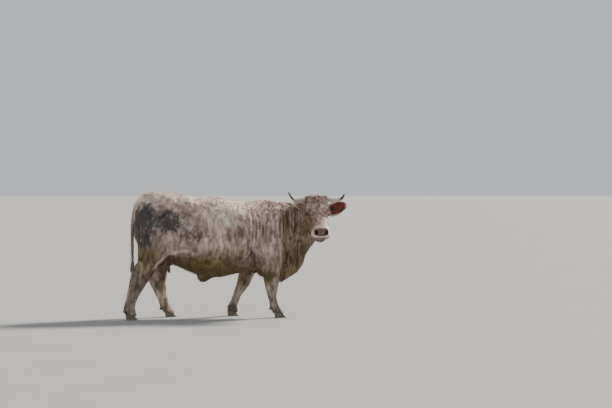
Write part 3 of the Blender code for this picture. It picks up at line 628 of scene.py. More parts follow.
# Height, middle (along, out, up) and size of the forms on both sides of the face.
FACE_FORMS = (
    (0.004, (0.19, 0.105, -0.022), (0.035, 0.02, 0.018)),  # brow
    (0.003, (0.29, 0.095, -0.11), (0.06, 0.03, 0.012)),  # cheek bone
    (-0.003, (0.25, 0.1, -0.075), (0.03, 0.03, 0.015)),  # hollow below the eye
    (0.004, (0.487, 0.083, -0.062), (0.022, 0.012, 0.022)),  # wing of the nose
    (-0.009, (0.492, 0.059, -0.063), (0.016, 0.015, 0.013)),  # nostril
    (-0.004, (0.52, 0.0, -0.11), (0.03, 0.006, 0.05)),  # groove of the upper lip
)


def face_relief(points, area):
    along, out, up = area.head.T
    spot = np.column_stack((along, np.abs(out), up))
    lift = 0.0
    for height, centre, size in FACE_FORMS:
        lift = lift + height * near(spot, centre, size)
    mouth = np.exp(-(((up - MOUTH_UP) / 0.006) ** 2)) * ramp(along, 0.395, 0.43)
    lift -= 0.006 * mouth
    wrinkle = waves(along - np.abs(out) * 0.5, 0.012)
    lift += 0.0008 * wrinkle * near(spot, (0.44, 0.06, -0.03), (0.03, 0.05, 0.04))
    lift += 0.003 * (noise(points, 45, 51) - 0.5) * ramp(along, 0.14, 0.08)
    return lift * area.on_head


def build_skin():
    skin = remeshed("skin", FLESH, {"ear_left": 0.0022, "ear_right": 0.0022}, VOXEL)
    points = coordinates(skin.data)
    area, tail_x = regions(points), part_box("tail")[0].x
    slim = ramp(points[:, 0], tail_x + 0.1, tail_x + 0.04) * ramp(points[:, 2], 1.38, 1.3)
    firm = np.clip(area.on_head + area.ears + slim + ramp(points[:, 2], 0.16, 0.1), 0, 1)
    body = (1 - firm) * (0.12 + 0.88 * ramp(points[:, 2], 0.45, 0.75))
    body = np.maximum(body, near(points, NAVEL, (0.2, 0.1, 0.12)))
    relaxed(skin, "melt", 120, body)
    relaxed(skin, "soften", 12, 1 - 0.85 * area.ears)
    applied(skin)
    points = coordinates(skin.data)
    area = regions(points)
    bare = np.column_stack(bare_parts(points, area))
    pushed(skin.data, folds(points, area) + face_relief(points, area) - coat_depth(points, area, bare))
    fine = np.clip(1.6 * area.on_head + 1.6 * area.ears, 0, 1)
    thin = skin.modifiers.new("thin", "DECIMATE")
    thin.ratio = SKIN_FACES / (2 * len(skin.data.polygons))
    thin.vertex_group = weigh(skin, "coarse", 1 - fine)
    thin.vertex_group_factor = 1.0
    thin.use_collapse_triangulate = True
    applied(skin)
    points = coordinates(skin.data)
    tone = np.clip(0.45 + ruffle(points) * (1 - regions(points).on_head), 0, 1)
    mark(skin.data, *marks_and_painted_light(points), tone)
    return finished(skin, hide_material("hide_skin", on_skin=True), "hide", *FLESH)


# ------------------------------------------------------------------ materials
class Look:
    """A material in the making: most calls add nodes and return the socket that comes out."""

    def __init__(self, name):
        self.made = bpy.data.materials.new(name)
        self.made.use_nodes = True
        self.tree = self.made.node_tree

    def put(self, sockets, values):
        """Links each value that is a socket, and sets each plain number or colour."""
        for key, value in values.items():
            if isinstance(value, bpy.types.NodeSocket):
                self.tree.links.new(value, sockets[key])
            elif isinstance(value, tuple) and len(value) < len(sockets[key].default_value):
                sockets[key].default_value = (*value, 1.0)
            else:
                sockets[key].default_value = value

    def node(self, kind, inputs, **settings):
        made = self.tree.nodes.new("ShaderNode" + kind)
        for key, value in settings.items():
            setattr(made, key, value)
        self.put(made.inputs, inputs)
        return made.outputs

    def stored(self, name):
        """The three channels of colour and the alpha of an attribute."""
        made = self.node("Attribute", {}, attribute_name=name)
        return (*self.node("SeparateColor", {0: made["Color"]}), made["Alpha"])

    def place(self, stretch=None):
        """The frame's own space, with its axes scaled."""
        place = self.node("TexCoord", {})["Object"]
        return self.node("Mapping", {"Vector": place, "Scale": stretch})[0] if stretch else place

    def grain(self, scale, detail=3.0, stretch=None, rough=0.55):
        inputs = {"Vector": self.place(stretch), "Scale": scale, "Detail": detail, "Roughness": rough}
        return self.node("TexNoise", inputs)[0]

    def mixed(self, share, first, second, blend="MIX"):
        return self.node("Mix", {0: share, 6: first, 7: second}, data_type="RGBA", blend_type=blend)[2]

    def grainy(self, scale, low, high, first, second, **more):
        """One colour in another, in grains."""
        return self.mixed(self.spread(self.grain(scale, **more), low, high), first, second)

    def maths(self, operation, first, second, clamp=False):
        return self.node("Math", {0: first, 1: second}, operation=operation, use_clamp=clamp)[0]

    def centred(self, value, size):
        """A value from 0 to 1, made to run from minus to plus half the size."""
        return self.maths("MULTIPLY", self.maths("SUBTRACT", value, 0.5), size)

    def spread(self, value, low, high, to_low=0.0, to_high=1.0):
        inputs = {0: value, 1: low, 2: high, 3: to_low, 4: to_high}
        return self.node("MapRange", inputs, clamp=True, interpolation_type="SMOOTHSTEP")[0]

    def done(self, colour, rough, height=None, distance=0.0, strength=1.0, **more):
        """Sets the shader; more gives its other inputs, with _ for a space."""
        inputs = {"Base Color": colour, "Roughness": rough}
        if height is not None:
            bump = {"Height": height, "Distance": distance, "Strength": strength}
            inputs["Normal"] = self.node("Bump", bump)[0]
        inputs.update({key.replace("_", " "): value for key, value in more.items()})
        self.put(self.tree.nodes["Principled BSDF"].inputs, inputs)
        return self.made


CREAM = (0.6, 0.48, 0.44)
MAUVE = (0.41, 0.305, 0.285)
# rusty brown hair, also the colour of painted shade
RUST = (0.17, 0.078, 0.045)
# olive: the colour of painted shade and green bounce light, and of stain
OLIVE = (0.152, 0.112, 0.04)
# dark grey of dirt, and of painted shade
DIRT_AND_SHADE = (0.034, 0.033, 0.034)
# pale cream hair, and painted highlights
BRIGHT = (0.8, 0.7, 0.61)
TONE_DARK, TONE_LIGHT = (0.38, 0.32, 0.27), (1.56, 1.57, 1.58)  # the coat's colour is multiplied by these
NOSE = (0.105, 0.052, 0.036)
NOSE_PALE = (0.2, 0.115, 0.088)
# the udder's bare pink skin, darkened with painted shade
PINK_IN_SHADE = (0.1, 0.046, 0.032)
EAR_DARK = (0.05, 0.018, 0.012)
# the red inside of the ear, with a painted glow of light shining through it
EAR_RED_GLOW = (0.22, 0.036, 0.018)
# painted shade inside the nostrils and along the mouth line
HOLE = (0.022, 0.009, 0.006)
HORN_DULL, HORN_PALE, HORN_TIP = (0.34, 0.29, 0.24), (0.56, 0.51, 0.45), (0.04, 0.022, 0.014)
HOOF_DARK, HOOF_PALE, HOOF_WORN = (0.055, 0.043, 0.034), (0.15, 0.115, 0.085), (0.2, 0.17, 0.13)
IRIS_DARK, IRIS_PALE = (0.035, 0.014, 0.007), (0.075, 0.032, 0.014)
EYE_WHITE, PUPIL = (0.06, 0.036, 0.028), (0.002, 0.002, 0.003)
LID_DARK, LID_PALE = (0.03, 0.017, 0.013), (0.085, 0.046, 0.035)


def hide_material(name, on_skin):
    m = Look(name)
    # the shares hold painted shade and painted highlights as well as the coat's own colours
    brown_and_shade, olive_stain_and_shade, dirt_and_shade, cream_and_highlight = m.stored("marks")
    nose, pink, hollow, tone = m.stored("bare")
    fleck = m.grain(70.0, 3.0, (1.0, 1.0, 0.45))
    colour = m.grainy(5.0, 0.35, 0.65, CREAM, MAUVE, detail=4.0)
    colour = m.mixed(cream_and_highlight, colour, BRIGHT)
    rusty = m.maths("MULTIPLY", brown_and_shade, m.spread(fleck, 0.25, 0.7, 0.65, 1.0))
    colour = m.mixed(olive_stain_and_shade, m.mixed(rusty, colour, RUST), OLIVE)
    # dark grey for dirt and for painted shade
    soiled_and_shaded = m.maths("ADD", dirt_and_shade, m.centred(fleck, 0.7))
    colour = m.mixed(m.spread(soiled_and_shaded, 0.18, 0.9, 0.0, 0.93), colour, DIRT_AND_SHADE)
    lit = m.maths("ADD", tone, m.centred(fleck, 0.35), clamp=True)
    colour = m.mixed(1.0, colour, m.mixed(lit, TONE_DARK, TONE_LIGHT), "MULTIPLY")
    colour = m.mixed(nose, colour, m.grainy(30.0, 0.35, 0.7, NOSE, NOSE_PALE))
    colour = m.mixed(pink, colour, m.grainy(22.0, 0.4, 0.6, PINK_IN_SHADE, NOSE_PALE))
    ear = m.grainy(18.0, 0.3, 0.66, EAR_DARK, EAR_RED_GLOW, detail=4.0)
    colour = m.mixed(hollow, colour, m.mixed(m.spread(nose, 0.1, 0.4), ear, HOLE))
    if on_skin:
        hair = m.grain(260.0, 4.0, (0.55, 0.8, 0.16), 0.6)
        relief = m.maths("ADD", m.maths("MULTIPLY", hair, 0.5), m.grain(60.0, 3.0, (1.0, 1.0, 0.35)))
        pores = m.node("TexVoronoi", {"Vector": m.place(), "Scale": 160.0})["Distance"]
        bump = (m.mixed(nose, relief, pores), 0.0035, 1.0)
    else:
        bump = (m.grain(420.0, 2.0, (0.6, 0.8, 0.2)), 0.0012, 0.6)
    rough = m.maths("SUBTRACT", 0.82, m.maths("MULTIPLY", nose, 0.42))
    return m.done(colour, rough, *bump, Sheen_Weight=0.22, Sheen_Roughness=0.4,
                  Sheen_Tint=(1.0, 0.93, 0.84), Specular_IOR_Level=0.35)


def horn_material():
    m = Look("horn_grown")
    share = m.stored("share")[0]
    base = m.grainy(40.0, 0.3, 0.7, HORN_DULL, HORN_PALE)
    uneven = m.maths("ADD", share, m.centred(m.grain(130.0, 3.0, (1.0, 0.15, 1.0)), 0.12))
    colour = m.mixed(m.spread(uneven, 0.5, 0.7), base, HORN_TIP)
    colour = m.mixed(m.spread(uneven, 0.3, 0.1), colour, HORN_DULL)
    return m.done(colour, 0.38, m.grain(300.0, 2.0), 0.0006)


def hoof_material():
    m = Look("hoof_worn")
    height = m.node("SeparateXYZ", {0: m.place()})[2]
    rings = m.grain(40.0, 3.0, (0.4, 0.4, 4.0))
    colour = m.mixed(m.spread(rings, 0.35, 0.65), HOOF_DARK, HOOF_PALE)
    colour = m.mixed(m.spread(height, 0.02, 0.0), colour, HOOF_WORN)
    return m.done(colour, m.spread(rings, 0.3, 0.7, 0.42, 0.62), rings, 0.0015)


def eye_material():
    m = Look("eye_wet")
    pupil, iris = m.stored("iris")[:2]
    fibres = m.grain(500.0, 2.0)
    brown = m.mixed(m.spread(fibres, 0.3, 0.7), IRIS_DARK, IRIS_PALE)
    colour = m.mixed(pupil, m.mixed(iris, EYE_WHITE, brown), PUPIL)
    return m.done(colour, 0.16, fibres, 0.00005, 0.3, Coat_Weight=0.25, Coat_Roughness=0.03)


def lid_material():
    m = Look("lid")
    colour = m.grainy(120.0, 0.35, 0.65, LID_DARK, LID_PALE)
    return m.done(colour, 0.5, m.grain(350.0), 0.0006)


# ------------------------------------------------------------------ eyes, horns, hooves
def grown_from(name, voxel, melt, swell):
    """A fine smooth copy of a CAD node, and where its points were before they were smoothed."""
    obj = remeshed(name + "_fine", [name], {name: swell}, voxel)
    before = coordinates(obj.data)
    relaxed(obj, "melt", melt)
    applied(obj)
    return obj, before


def build_hooves():
    look = hoof_material()
    for name in [f"{kind}_{foot}_{claw}" for foot in FEET for claw in ("outer", "inner")
                 for kind in ("hoof", "dewclaw")]:
        hoof = name.startswith("hoof")
        obj, before = grown_from(name, 0.003 if hoof else 0.002, 6, 0.0003)
        if hoof:  # the sole stays flat, and the wall has grooves above it
            floor = before[:, 2].min()
            moved = coordinates(obj.data)
            moved[:, 2] = np.where(before[:, 2] < floor + 0.004, floor + 0.0003, moved[:, 2])
            set_coordinates(obj.data, moved)
            x, _, z = coordinates(obj.data).T
            pushed(obj.data, 0.0005 * np.sin(z * 2 * pi / 0.009 + 9 * x) * ramp(z, 0.004, 0.012))
        finished(obj, look, "hoof", name)


def build_horns():
    look = horn_material()
    for side in SIDES:
        name = "horn_" + side
        obj, _ = grown_from(name, 0.0022, 8, 0.0042)
        head = to_head(coordinates(obj.data))
        share = np.clip((np.abs(head[:, 1]) - 0.11) / 0.22, 0, 1)
        share = np.clip(share * 0.8 + 0.2 * ramp(head[:, 2], 0.0, 0.07), 0, 1)
        pushed(obj.data, 0.0006 * (np.sin(share * 2 * pi * 13) * ramp(share, 0.5, 0.2)))
        attribute(obj.data, "share", np.column_stack([share] * 3 + [np.ones(len(share))]))
        finished(obj, look, "horn", name)


def eye_axes(side):
    """Centre of the eye, where it looks, the way along its slit, and the way up across it."""
    sign = SIDES[side]
    look = unit(TURN @ np.array((0.1, sign * 0.86, 0.5)))
    slit = TURN @ np.array((0.9, -sign * 0.1, -0.42))
    slit = unit(slit - look * (slit @ look))
    return np.array(middle("eye_" + side)), look, slit, np.cross(look, slit)


def round_eye(eye, turn, angle):
    """Ways from the eye's centre, by the turn round where it looks and the angle from there."""
    _, look, slit, rise = eye
    return swung(look, swung(slit, rise, turn), angle)


def cap(eye, angles, radii):
    """Points on rings round an eye, from the angle and the distance of each ring and column."""
    columns = angles.shape[1]
    turn = 2 * pi * np.arange(columns) / columns
    return (eye[0] + round_eye(eye, turn[None], angles) * radii[..., None]).reshape(-1, 3)


def ring_faces(rings, columns, closed=False):
    """Faces between neighbouring rings, and from the last ring to the first if closed."""
    faces = []
    for i in range(rings if closed else rings - 1):
        low, high = i * columns, (i + 1) % rings * columns
        for j in range(columns):
            k = (j + 1) % columns
            faces.append((low + j, low + k, high + k, high + j))
    return faces


def closed_piece(name, points, faces, look, slot, *replaced):
    mesh = bpy.data.meshes.new(name)
    mesh.from_pydata(points.tolist(), [], faces)
    bm = bmesh.new()
    bm.from_mesh(mesh)
    bmesh.ops.recalc_face_normals(bm, faces=bm.faces)
    bm.to_mesh(mesh)
    bm.free()
    return finished(placed(name, mesh), look, slot, *replaced)


EYE_RADIUS = 0.022
LID_WIDE, LID_UPPER, LID_LOWER = 0.92, 0.72, 0.6  # half openings, as angles at the middle of the eye
# The lid's section round its rim: angle past the opening, and height over the eyeball.
LID_PROFILE = np.array((
    (0.02, -0.0035), (0.0, -0.001), (0.0, 0.0015), (0.05, 0.0032), (0.14, 0.0042), (0.28, 0.004),
    (0.42, 0.0048), (0.58, 0.0036), (0.78, 0.0012), (0.95, -0.003), (0.7, -0.008), (0.2, -0.006),
))


def lid_opening(turn):
    lean = np.where(np.sin(turn) > 0, LID_UPPER, LID_LOWER)
    return 1.0 / np.sqrt((np.cos(turn) / LID_WIDE) ** 2 + (np.sin(turn) / lean) ** 2)


def build_eyes():
    ball_look, lid_look = eye_material(), lid_material()
    for side in SIDES:
        eye = eye_axes(side)
        centre, look, slit, rise = eye
        columns, rings = 40, 26
        angles = np.repeat(np.linspace(0.02, pi - 0.02, rings)[:, None], columns, axis=1)
        points = cap(eye, angles, EYE_RADIUS * (0.99 + 0.05 * np.exp(-((angles / 0.55) ** 2))))
        ends = [tuple(range(columns))[::-1], tuple(range((rings - 1) * columns, rings * columns))]
        obj = closed_piece("eyeball_" + side, points, ring_faces(rings, columns) + ends, ball_look, "eye",
                           "eye_" + side)
        ways = unit(points - centre)
        wide, high, front = ways @ slit, ways @ rise, ways @ look > 0
        pupil = ramp((wide / 0.42) ** 2 + (high / 0.22) ** 2, 1.15, 0.85) * front
        iris = ramp(np.hypot(wide, high), 0.72, 0.64) * front
        attribute(obj.data, "iris", np.column_stack((pupil, iris, iris, np.ones(len(points)))))
        # a thick almond-shaped rim, whose outer edge sinks into the skin
        columns, rings = 56, len(LID_PROFILE)
        opening = lid_opening(2 * pi * np.arange(columns) / columns)
        angles = opening[None] + LID_PROFILE[:, :1]
        points = cap(eye, angles, EYE_RADIUS + LID_PROFILE[:, 1:] + 0 * angles)
        closed_piece("eyelids_" + side, points, ring_faces(rings, columns, True), lid_look, "bare_skin")


# ------------------------------------------------------------------ the coat
class Roots:
    """Where hairs may grow: even samples of the skin's surface."""

    def __init__(self, skin):
        mesh = skin.data
        mesh.calc_loop_triangles()
        flat = np.empty(len(mesh.loop_triangles) * 3, dtype=np.int32)
        mesh.loop_triangles.foreach_get("vertices", flat)
        self.corners = flat.reshape(-1, 3)
        self.points, self.normals = coordinates(mesh), directions(mesh)
        a, b, c = (self.points[self.corners[:, i]] for i in range(3))
        self.areas = np.linalg.norm(np.cross(b - a, c - a), axis=1) / 2
        self.centres = (a + b + c) / 3
        self.area = regions(self.centres)
        bare = np.column_stack(bare_parts(self.centres, self.area))
        self.haired = 1 - np.clip(bare[:, 0] + bare[:, 1], 0, 1)
        self.hollow = bare[:, 2]
        self.facing = self.normals[self.corners].mean(1)

    def sample(self, density, count):
        """About count roots, in proportion to density (one value for each triangle)."""
        count = int(count)
        weight = np.cumsum(self.areas * density)
        stops = (np.arange(count) + SEEDS.rand(count)) / count * weight[-1]
        chosen = np.searchsorted(weight, stops).clip(0, len(weight) - 1)
        first, second = SEEDS.rand(count), SEEDS.rand(count)
        over = first + second > 1
        first, second = np.where(over, 1 - first, first), np.where(over, 1 - second, second)
        corners = self.corners[chosen]
        shares = np.column_stack((1 - first - second, first, second))[:, :, None]
        return (self.points[corners] * shares).sum(1), unit((self.normals[corners] * shares).sum(1))


def between(count, low, high):
    return low + (high - low) * SEEDS.rand(count)


def jitter(count, size):
    return size * (SEEDS.rand(count) - 0.5)


def toward(ways, aim, share):
    """Each way, turned to aim by its own share."""
    return ways * (1 - share[:, None]) + np.array(aim) * share[:, None]


def along_skin(ways, normals, share=1.0):
    """Each way, freed of its part (or a share of it) off the skin."""
    return unit(ways - share * normals * (ways * normals).sum(1)[:, None])


def turned(ways, normals, angle):
    """Each way turned in the skin's plane by its own angle."""
    return swung(ways, np.cross(normals, ways), angle)


def lie_of_coat(points, normals):
    """Which way the hair points at each place, along the skin."""
    area = regions(points)
    head = area.head
    x, _, z = body_axes(points)
    way = toward(np.array((-0.8, 0.0, -0.62)), (-0.22, 0.0, -1.0), area.front)
    legs = np.maximum(area.legs, ramp(z, 0.8, 0.62) * ramp(np.abs(x), 0.2, 0.5))
    way = toward(way, (0.0, 0.0, -1.0), legs)
    way = toward(way, (-0.15, 0.0, -1.0), ramp(x, -0.96, -1.02) * ramp(z, 1.46, 1.42))
    # on the head the coat runs from a whorl on the forehead down to the muzzle and up to the poll
    local = np.column_stack(((head[:, 0] - 0.12) * 1.5 + 0.02, head[:, 1] * 0.9, -0.12 + 0 * x))
    local = toward(unit(local), (0.35, 0.0, -0.95), ramp(head[:, 2], -0.03, -0.12))
    way = toward(way, local @ TURN.T, area.on_head)
    for side, sign in SIDES.items():
        way = toward(way, TURN @ EARS[side][1], area.ears * (np.sign(head[:, 1]) == sign))
    sway = (noise(points, 9, 61) - 0.5) + 0.5 * (noise(points, 28, 62) - 0.5)
    sway = sway + (noise(points, 40, 63) - 0.5) * 5.0 * area.on_head * ramp(head[:, 0], 0.2, 0.13)
    return unit(turned(along_skin(way, normals), normals, sway))


# Middle of each leg in x and y, in the order of their numbers in unwrapped().
LEG_X, LEG_Y = (-0.95, -0.62, 0.48, 0.18), (-0.12, 0.29, -0.12, 0.29)


def unwrapped(points, kind):
    """Where each root lies on an unwrap of the skin: round the body and along it."""
    if kind == "head":
        head = to_head(points)
        round_it, along = np.arctan2(head[:, 2] + 0.1, head[:, 1]), head[:, 0]
    elif kind == "legs":
        x, y, along = body_axes(points)
        leg = (x > -0.3) * 2 + (y > MIDDLE_Y)
        turn = np.arctan2(y - np.take(LEG_Y, leg), x - np.take(LEG_X, leg))
        round_it = turn / (2 * pi) + 0.5 + leg * 1.05
    else:
        round_it, along = np.arctan2(points[:, 2] - 0.95, points[:, 1] - MIDDLE_Y), points[:, 0]
        round_it = np.where(round_it < -pi / 2, round_it + 2 * pi, round_it)
    flat = [0.01 + 0.975 * (v - v.min()) / (v.max() - v.min() + 1e-9) for v in (round_it, along)]
    return np.column_stack(flat)


def lock_faces(rings):
    """Triangles of one lock: its root, the sides between its three-cornered rings, and its tip."""
    last = 3 * rings - 3
    faces = [(2, 1, 0)]
    for low in range(0, last, 3):
        for i in range(3):
            j, high = (i + 1) % 3, low + 3
            faces += [(low + i, low + j, high + j), (low + i, high + j, high + i)]
    return faces + [(last + i, last + (i + 1) % 3, last + 3) for i in range(3)]


def triangle_mesh(name, verts, index):
    mesh = bpy.data.meshes.new(name)
    mesh.vertices.add(len(verts))
    mesh.vertices.foreach_set("co", verts.ravel())
    mesh.loops.add(index.size)
    mesh.loops.foreach_set("vertex_index", index.ravel().astype(np.int32))
    mesh.polygons.add(len(index))
    mesh.polygons.foreach_set("loop_start", np.arange(0, index.size, 3, dtype=np.int32))
    mesh.update(calc_edges=True)
    return mesh


def grow(name, points, normals, length, width, thick, lift, curl, rings, sink=0.001, kind="head",
         way=None, droop=1.0, slot="hide", tone=None, paint=None):
    """Closed tapering locks, each from its root along the lie of the coat.

    length, width, thick: metres. lift: angle off the skin at the root. curl: turn along the skin from
    root to tip. A pair of numbers is drawn between. rings: cross-sections before the tip. droop: how far
    the tip bends back to the skin. kind: the unwrap that its bake patches lie on."""
    count = len(points)
    length, width, thick, lift, curl = (
        between(count, *v) if isinstance(v, tuple) else v * np.ones(count)
        for v in (length, width, thick, lift, curl)
    )
    way = lie_of_coat(points, normals) if way is None else way
    side = np.cross(normals, way)
    places, place = [], points - normals * sink
    for k in range(rings + 1):
        share = k / rings
        turn, rise = curl * share, lift * (1 - droop * 1.3 * share)
        ahead, across = swung(way, side, turn), swung(side, -way, turn)
        if k < rings:
            taper = (1 - share) ** 0.55
            half = across * (width * taper / 2)[:, None]
            crest = swung(normals, -ahead, rise) * (thick * taper)[:, None]
            places += [place - half, place + half, place + crest]
        else:
            places.append(place)
        place = place + swung(ahead, normals, rise) * (length / rings)[:, None]
    per = 3 * rings + 1
    index = (np.arange(count)[:, None, None] * per + np.array(lock_faces(rings))[None]).reshape(-1, 3)
    mesh = triangle_mesh(name, np.stack(places, axis=1).reshape(-1, 3), index)
    tone = SEEDS.rand(count) if tone is None else np.clip(tone, 0, 1)
    marks, bare = marks_and_painted_light(points)
    if paint is not None:
        marks, bare = np.tile(paint, (count, 1)), 0 * bare
    mark(mesh, *(np.repeat(values, per, axis=0) for values in (marks, bare, tone)))
    spot = np.array([(((i % 3) - 0.5) * 0.0011, (i // 3) / rings * 0.0028) for i in range(per)])
    flat = (unwrapped(points, kind)[:, None, :] + spot[None]).reshape(-1, 2)
    layer = mesh.uv_layers.new(name="OFBake")
    layer.data.foreach_set("uv", flat[index.ravel()].astype(np.float32).ravel())
    return finished(placed(name, mesh), bpy.data.materials["hide_coat"], slot)


BODY_TUFTS = {"back_right": 38000, "back_left": 31000, "front_right": 38000, "front_left": 29000,
              "belly_right": 28000, "belly_left": 25000}
# Layers of the body's coat: tufts for each fine one, length, width, rings.
LAYERS = {"fine": (1.0, 0.018, 0.0042, 1), "locks": (0.15, 0.03, 0.006, 2)}
FACE_TUFTS, CURLS, WHORLS, EAR_TUFTS, FRINGE_TUFTS, CUP_TUFTS, SWITCH_TUFTS, LASHES = (
    13000, 5700, 125, 3600, 1500, 260, 480, 44)


def build_body_coat(roots):
    area, centres = roots.area, roots.centres
    body = roots.haired * (1 - area.on_head) * (1 - area.ears) * ramp(centres[:, 2], 0.065, 0.08)
    low = ramp(centres[:, 2], 0.66, 0.6)
    x, y, _ = body_axes(centres)
    where = {"back": (1 - low) * (x < 0.05), "front": (1 - low) * (x >= 0.05), "belly": low,
             "right": y < MIDDLE_Y, "left": y >= MIDDLE_Y}
    for name, tufts in BODY_TUFTS.items():
        part, side = name.split("_")
        for layer, (much, long, wide, rings) in LAYERS.items():
            points, normals = roots.sample(body * where[part] * where[side], tufts * much)
            count, here = len(points), regions(points)
            front = here.front * 0.5 + here.neck * 0.5
            length = long * between(count, 0.75, 1.25) * (1 - 0.35 * here.legs) * (1 + 0.3 * front)
            width = wide * between(count, 0.75, 1.25) * (1 - 0.25 * here.legs)
            smooth = 1 - 0.7 * arm_share(*body_axes(points)[::2])
            tone = 0.5 + jitter(count, 0.36) + ruffle(points) * (0.4 + 0.6 * smooth)
            # lighter ridges and darker furrows of the streaks: partly the coat's own streaks, partly
            # painted shade
            tone += 0.4 * (streaks(points) - 0.5) * here.front * smooth
            # the painted highlights lift the tone of the locks there
            tone += 0.55 * patches(points, HIGHLIGHT_LINES) * here.right
            way = turned(lie_of_coat(points, normals), normals, between(count, -0.24, 0.24))
            lift = between(count, 0.05, 0.19) * (1 - 0.3 * here.legs)
            grow(f"{layer}_{name}", points, normals, length, width, 0.3 * width, lift, (-0.3, 0.3), rings,
                 sink=0.0015, kind="legs" if part == "belly" else "trunk", way=way, tone=tone)


def face_share(roots):
    """Where the face carries hair: not on the nose, the ears, the eyes or in the nostrils."""
    area = roots.area
    face = area.on_head * roots.haired * (1 - area.ears)
    for side in SIDES:
        gap = np.linalg.norm(roots.centres - np.array(middle("eye_" + side)), axis=1)
        face = face * ramp(gap, 0.024, 0.03)
    for sign in SIDES.values():
        hole = np.linalg.norm(area.head - np.array((0.486, sign * 0.058, -0.062)), axis=1)
        face = face * ramp(hole, 0.022, 0.028)
    return face


def build_face_coat(roots, face):
    dense = face * (1 + 1.5 * ramp(roots.area.head[:, 0], 0.25, 0.4))
    points, normals = roots.sample(dense, FACE_TUFTS)
    count = len(points)
    near_nose = ramp(to_head(points)[:, 0], 0.22, 0.42)
    length = between(count, 0.014, 0.022) * (1 - 0.5 * near_nose)
    width = between(count, 0.003, 0.005) * (1 - 0.4 * near_nose)
    tone = 0.42 + jitter(count, 0.4) + 1.9 * (noise(points, 62, 83) - 0.5) * (1 - 0.5 * near_nose)
    grow("coat_face", points, normals, length, width, 0.0014 * (1 - 0.4 * near_nose), (0.1, 0.3),
         (-0.5, 0.5), 2, tone=tone + 0.35 * near_nose)


def build_curls(roots, face):
    """Curls on poll and forehead, each turning round the middle of its own whorl."""
    head = roots.area.head
    curly = face * ramp(head[:, 0], 0.4, 0.2) * ramp(head[:, 2], -0.12, -0.06)
    curly *= ramp(head[:, 0], -0.06, -0.04)
    middles, _ = roots.sample(curly, WHORLS)
    points, normals = roots.sample(curly, CURLS)
    count = len(points)
    gap = points[:, None, :] - middles[None]
    nearest = np.argmin((gap**2).sum(2), axis=1)
    arm = gap[np.arange(count), nearest]
    far = np.linalg.norm(arm, axis=1)
    along = to_head(points)[:, 0]
    high = ramp(along, 0.07, 0.0)
    hand = np.where(nearest % 2 == 0, 1.0, -1.0)
    way = np.cross(normals, arm) * hand[:, None] - 0.35 * arm
    way = unit(way + 0.4 * far[:, None] * lie_of_coat(points, normals))
    length = between(count, 0.016, 0.026) * (1 + 0.7 * high) * (0.45 + 0.55 * ramp(along, 0.36, 0.1))
    tone = 0.8 * ramp(far, 0.003, 0.015) + jitter(count, 0.35) + 1.2 * (noise(points, 62, 83) - 0.5)
    width, lift = between(count, 0.0035, 0.006), between(count, 0.25, 0.6) * (1 + 0.4 * high)
    grow("coat_curls", points, normals, length, width, 0.0026, lift, hand * between(count, 1.2, 2.4), 4,
         droop=0.8, way=along_skin(way, normals), tone=tone)


def build_ear_coat(roots):
    """Short coat outside, long hair on the rim and in the cup."""
    area, head = roots.area, roots.area.head
    ear = area.ears * ramp(np.abs(head[:, 1]), 0.14, 0.16)
    grow("coat_ears", *roots.sample(ear * (1 - 0.8 * roots.hollow), EAR_TUFTS), (0.012, 0.02),
         (0.003, 0.0045), 0.0012, (0.1, 0.3), (-0.4, 0.4), 2)
    for side in SIDES:
        root, aim, across, _ = EARS[side]
        far, wide = (head - root) @ aim, (head - root) @ across
        width, _ = ear_width(far)
        mine, cup = ear_sheet(head, side)
        edge = np.maximum(ramp(np.abs(wide), width * 0.36, width * 0.46),
                          ramp(far, EAR_LENGTH - 0.03, EAR_LENGTH - 0.015))
        points, normals = roots.sample(mine * edge * ramp(far, 0.03, 0.06), FRINGE_TUFTS)
        local = to_head(points) - root
        outward = unit((local @ across)[:, None] * across + (local @ aim - 0.1)[:, None] * aim * 0.9)
        way = unit(outward @ TURN.T + 0.35 * (SEEDS.rand(len(points), 3) - 0.5))
        # the fringe is cream on the left ear, and brown with painted shade on the right ear
        grow(f"fringe_ear_{side}", points, normals, (0.014, 0.028), (0.0025, 0.004), 0.0016, (0.0, 0.3),
             (-0.6, 0.6), 3, way=along_skin(way, normals, 0.6),
             paint=(0.05, 0.0, 0.0, 0.9) if side == "left" else (0.55, 0.3, 0.1, 0.2))
        grow(f"hair_ear_{side}", *roots.sample(cup, CUP_TUFTS), (0.014, 0.026), (0.0025, 0.004), 0.0014,
             (0.1, 0.5), (-0.8, 0.8), 3)


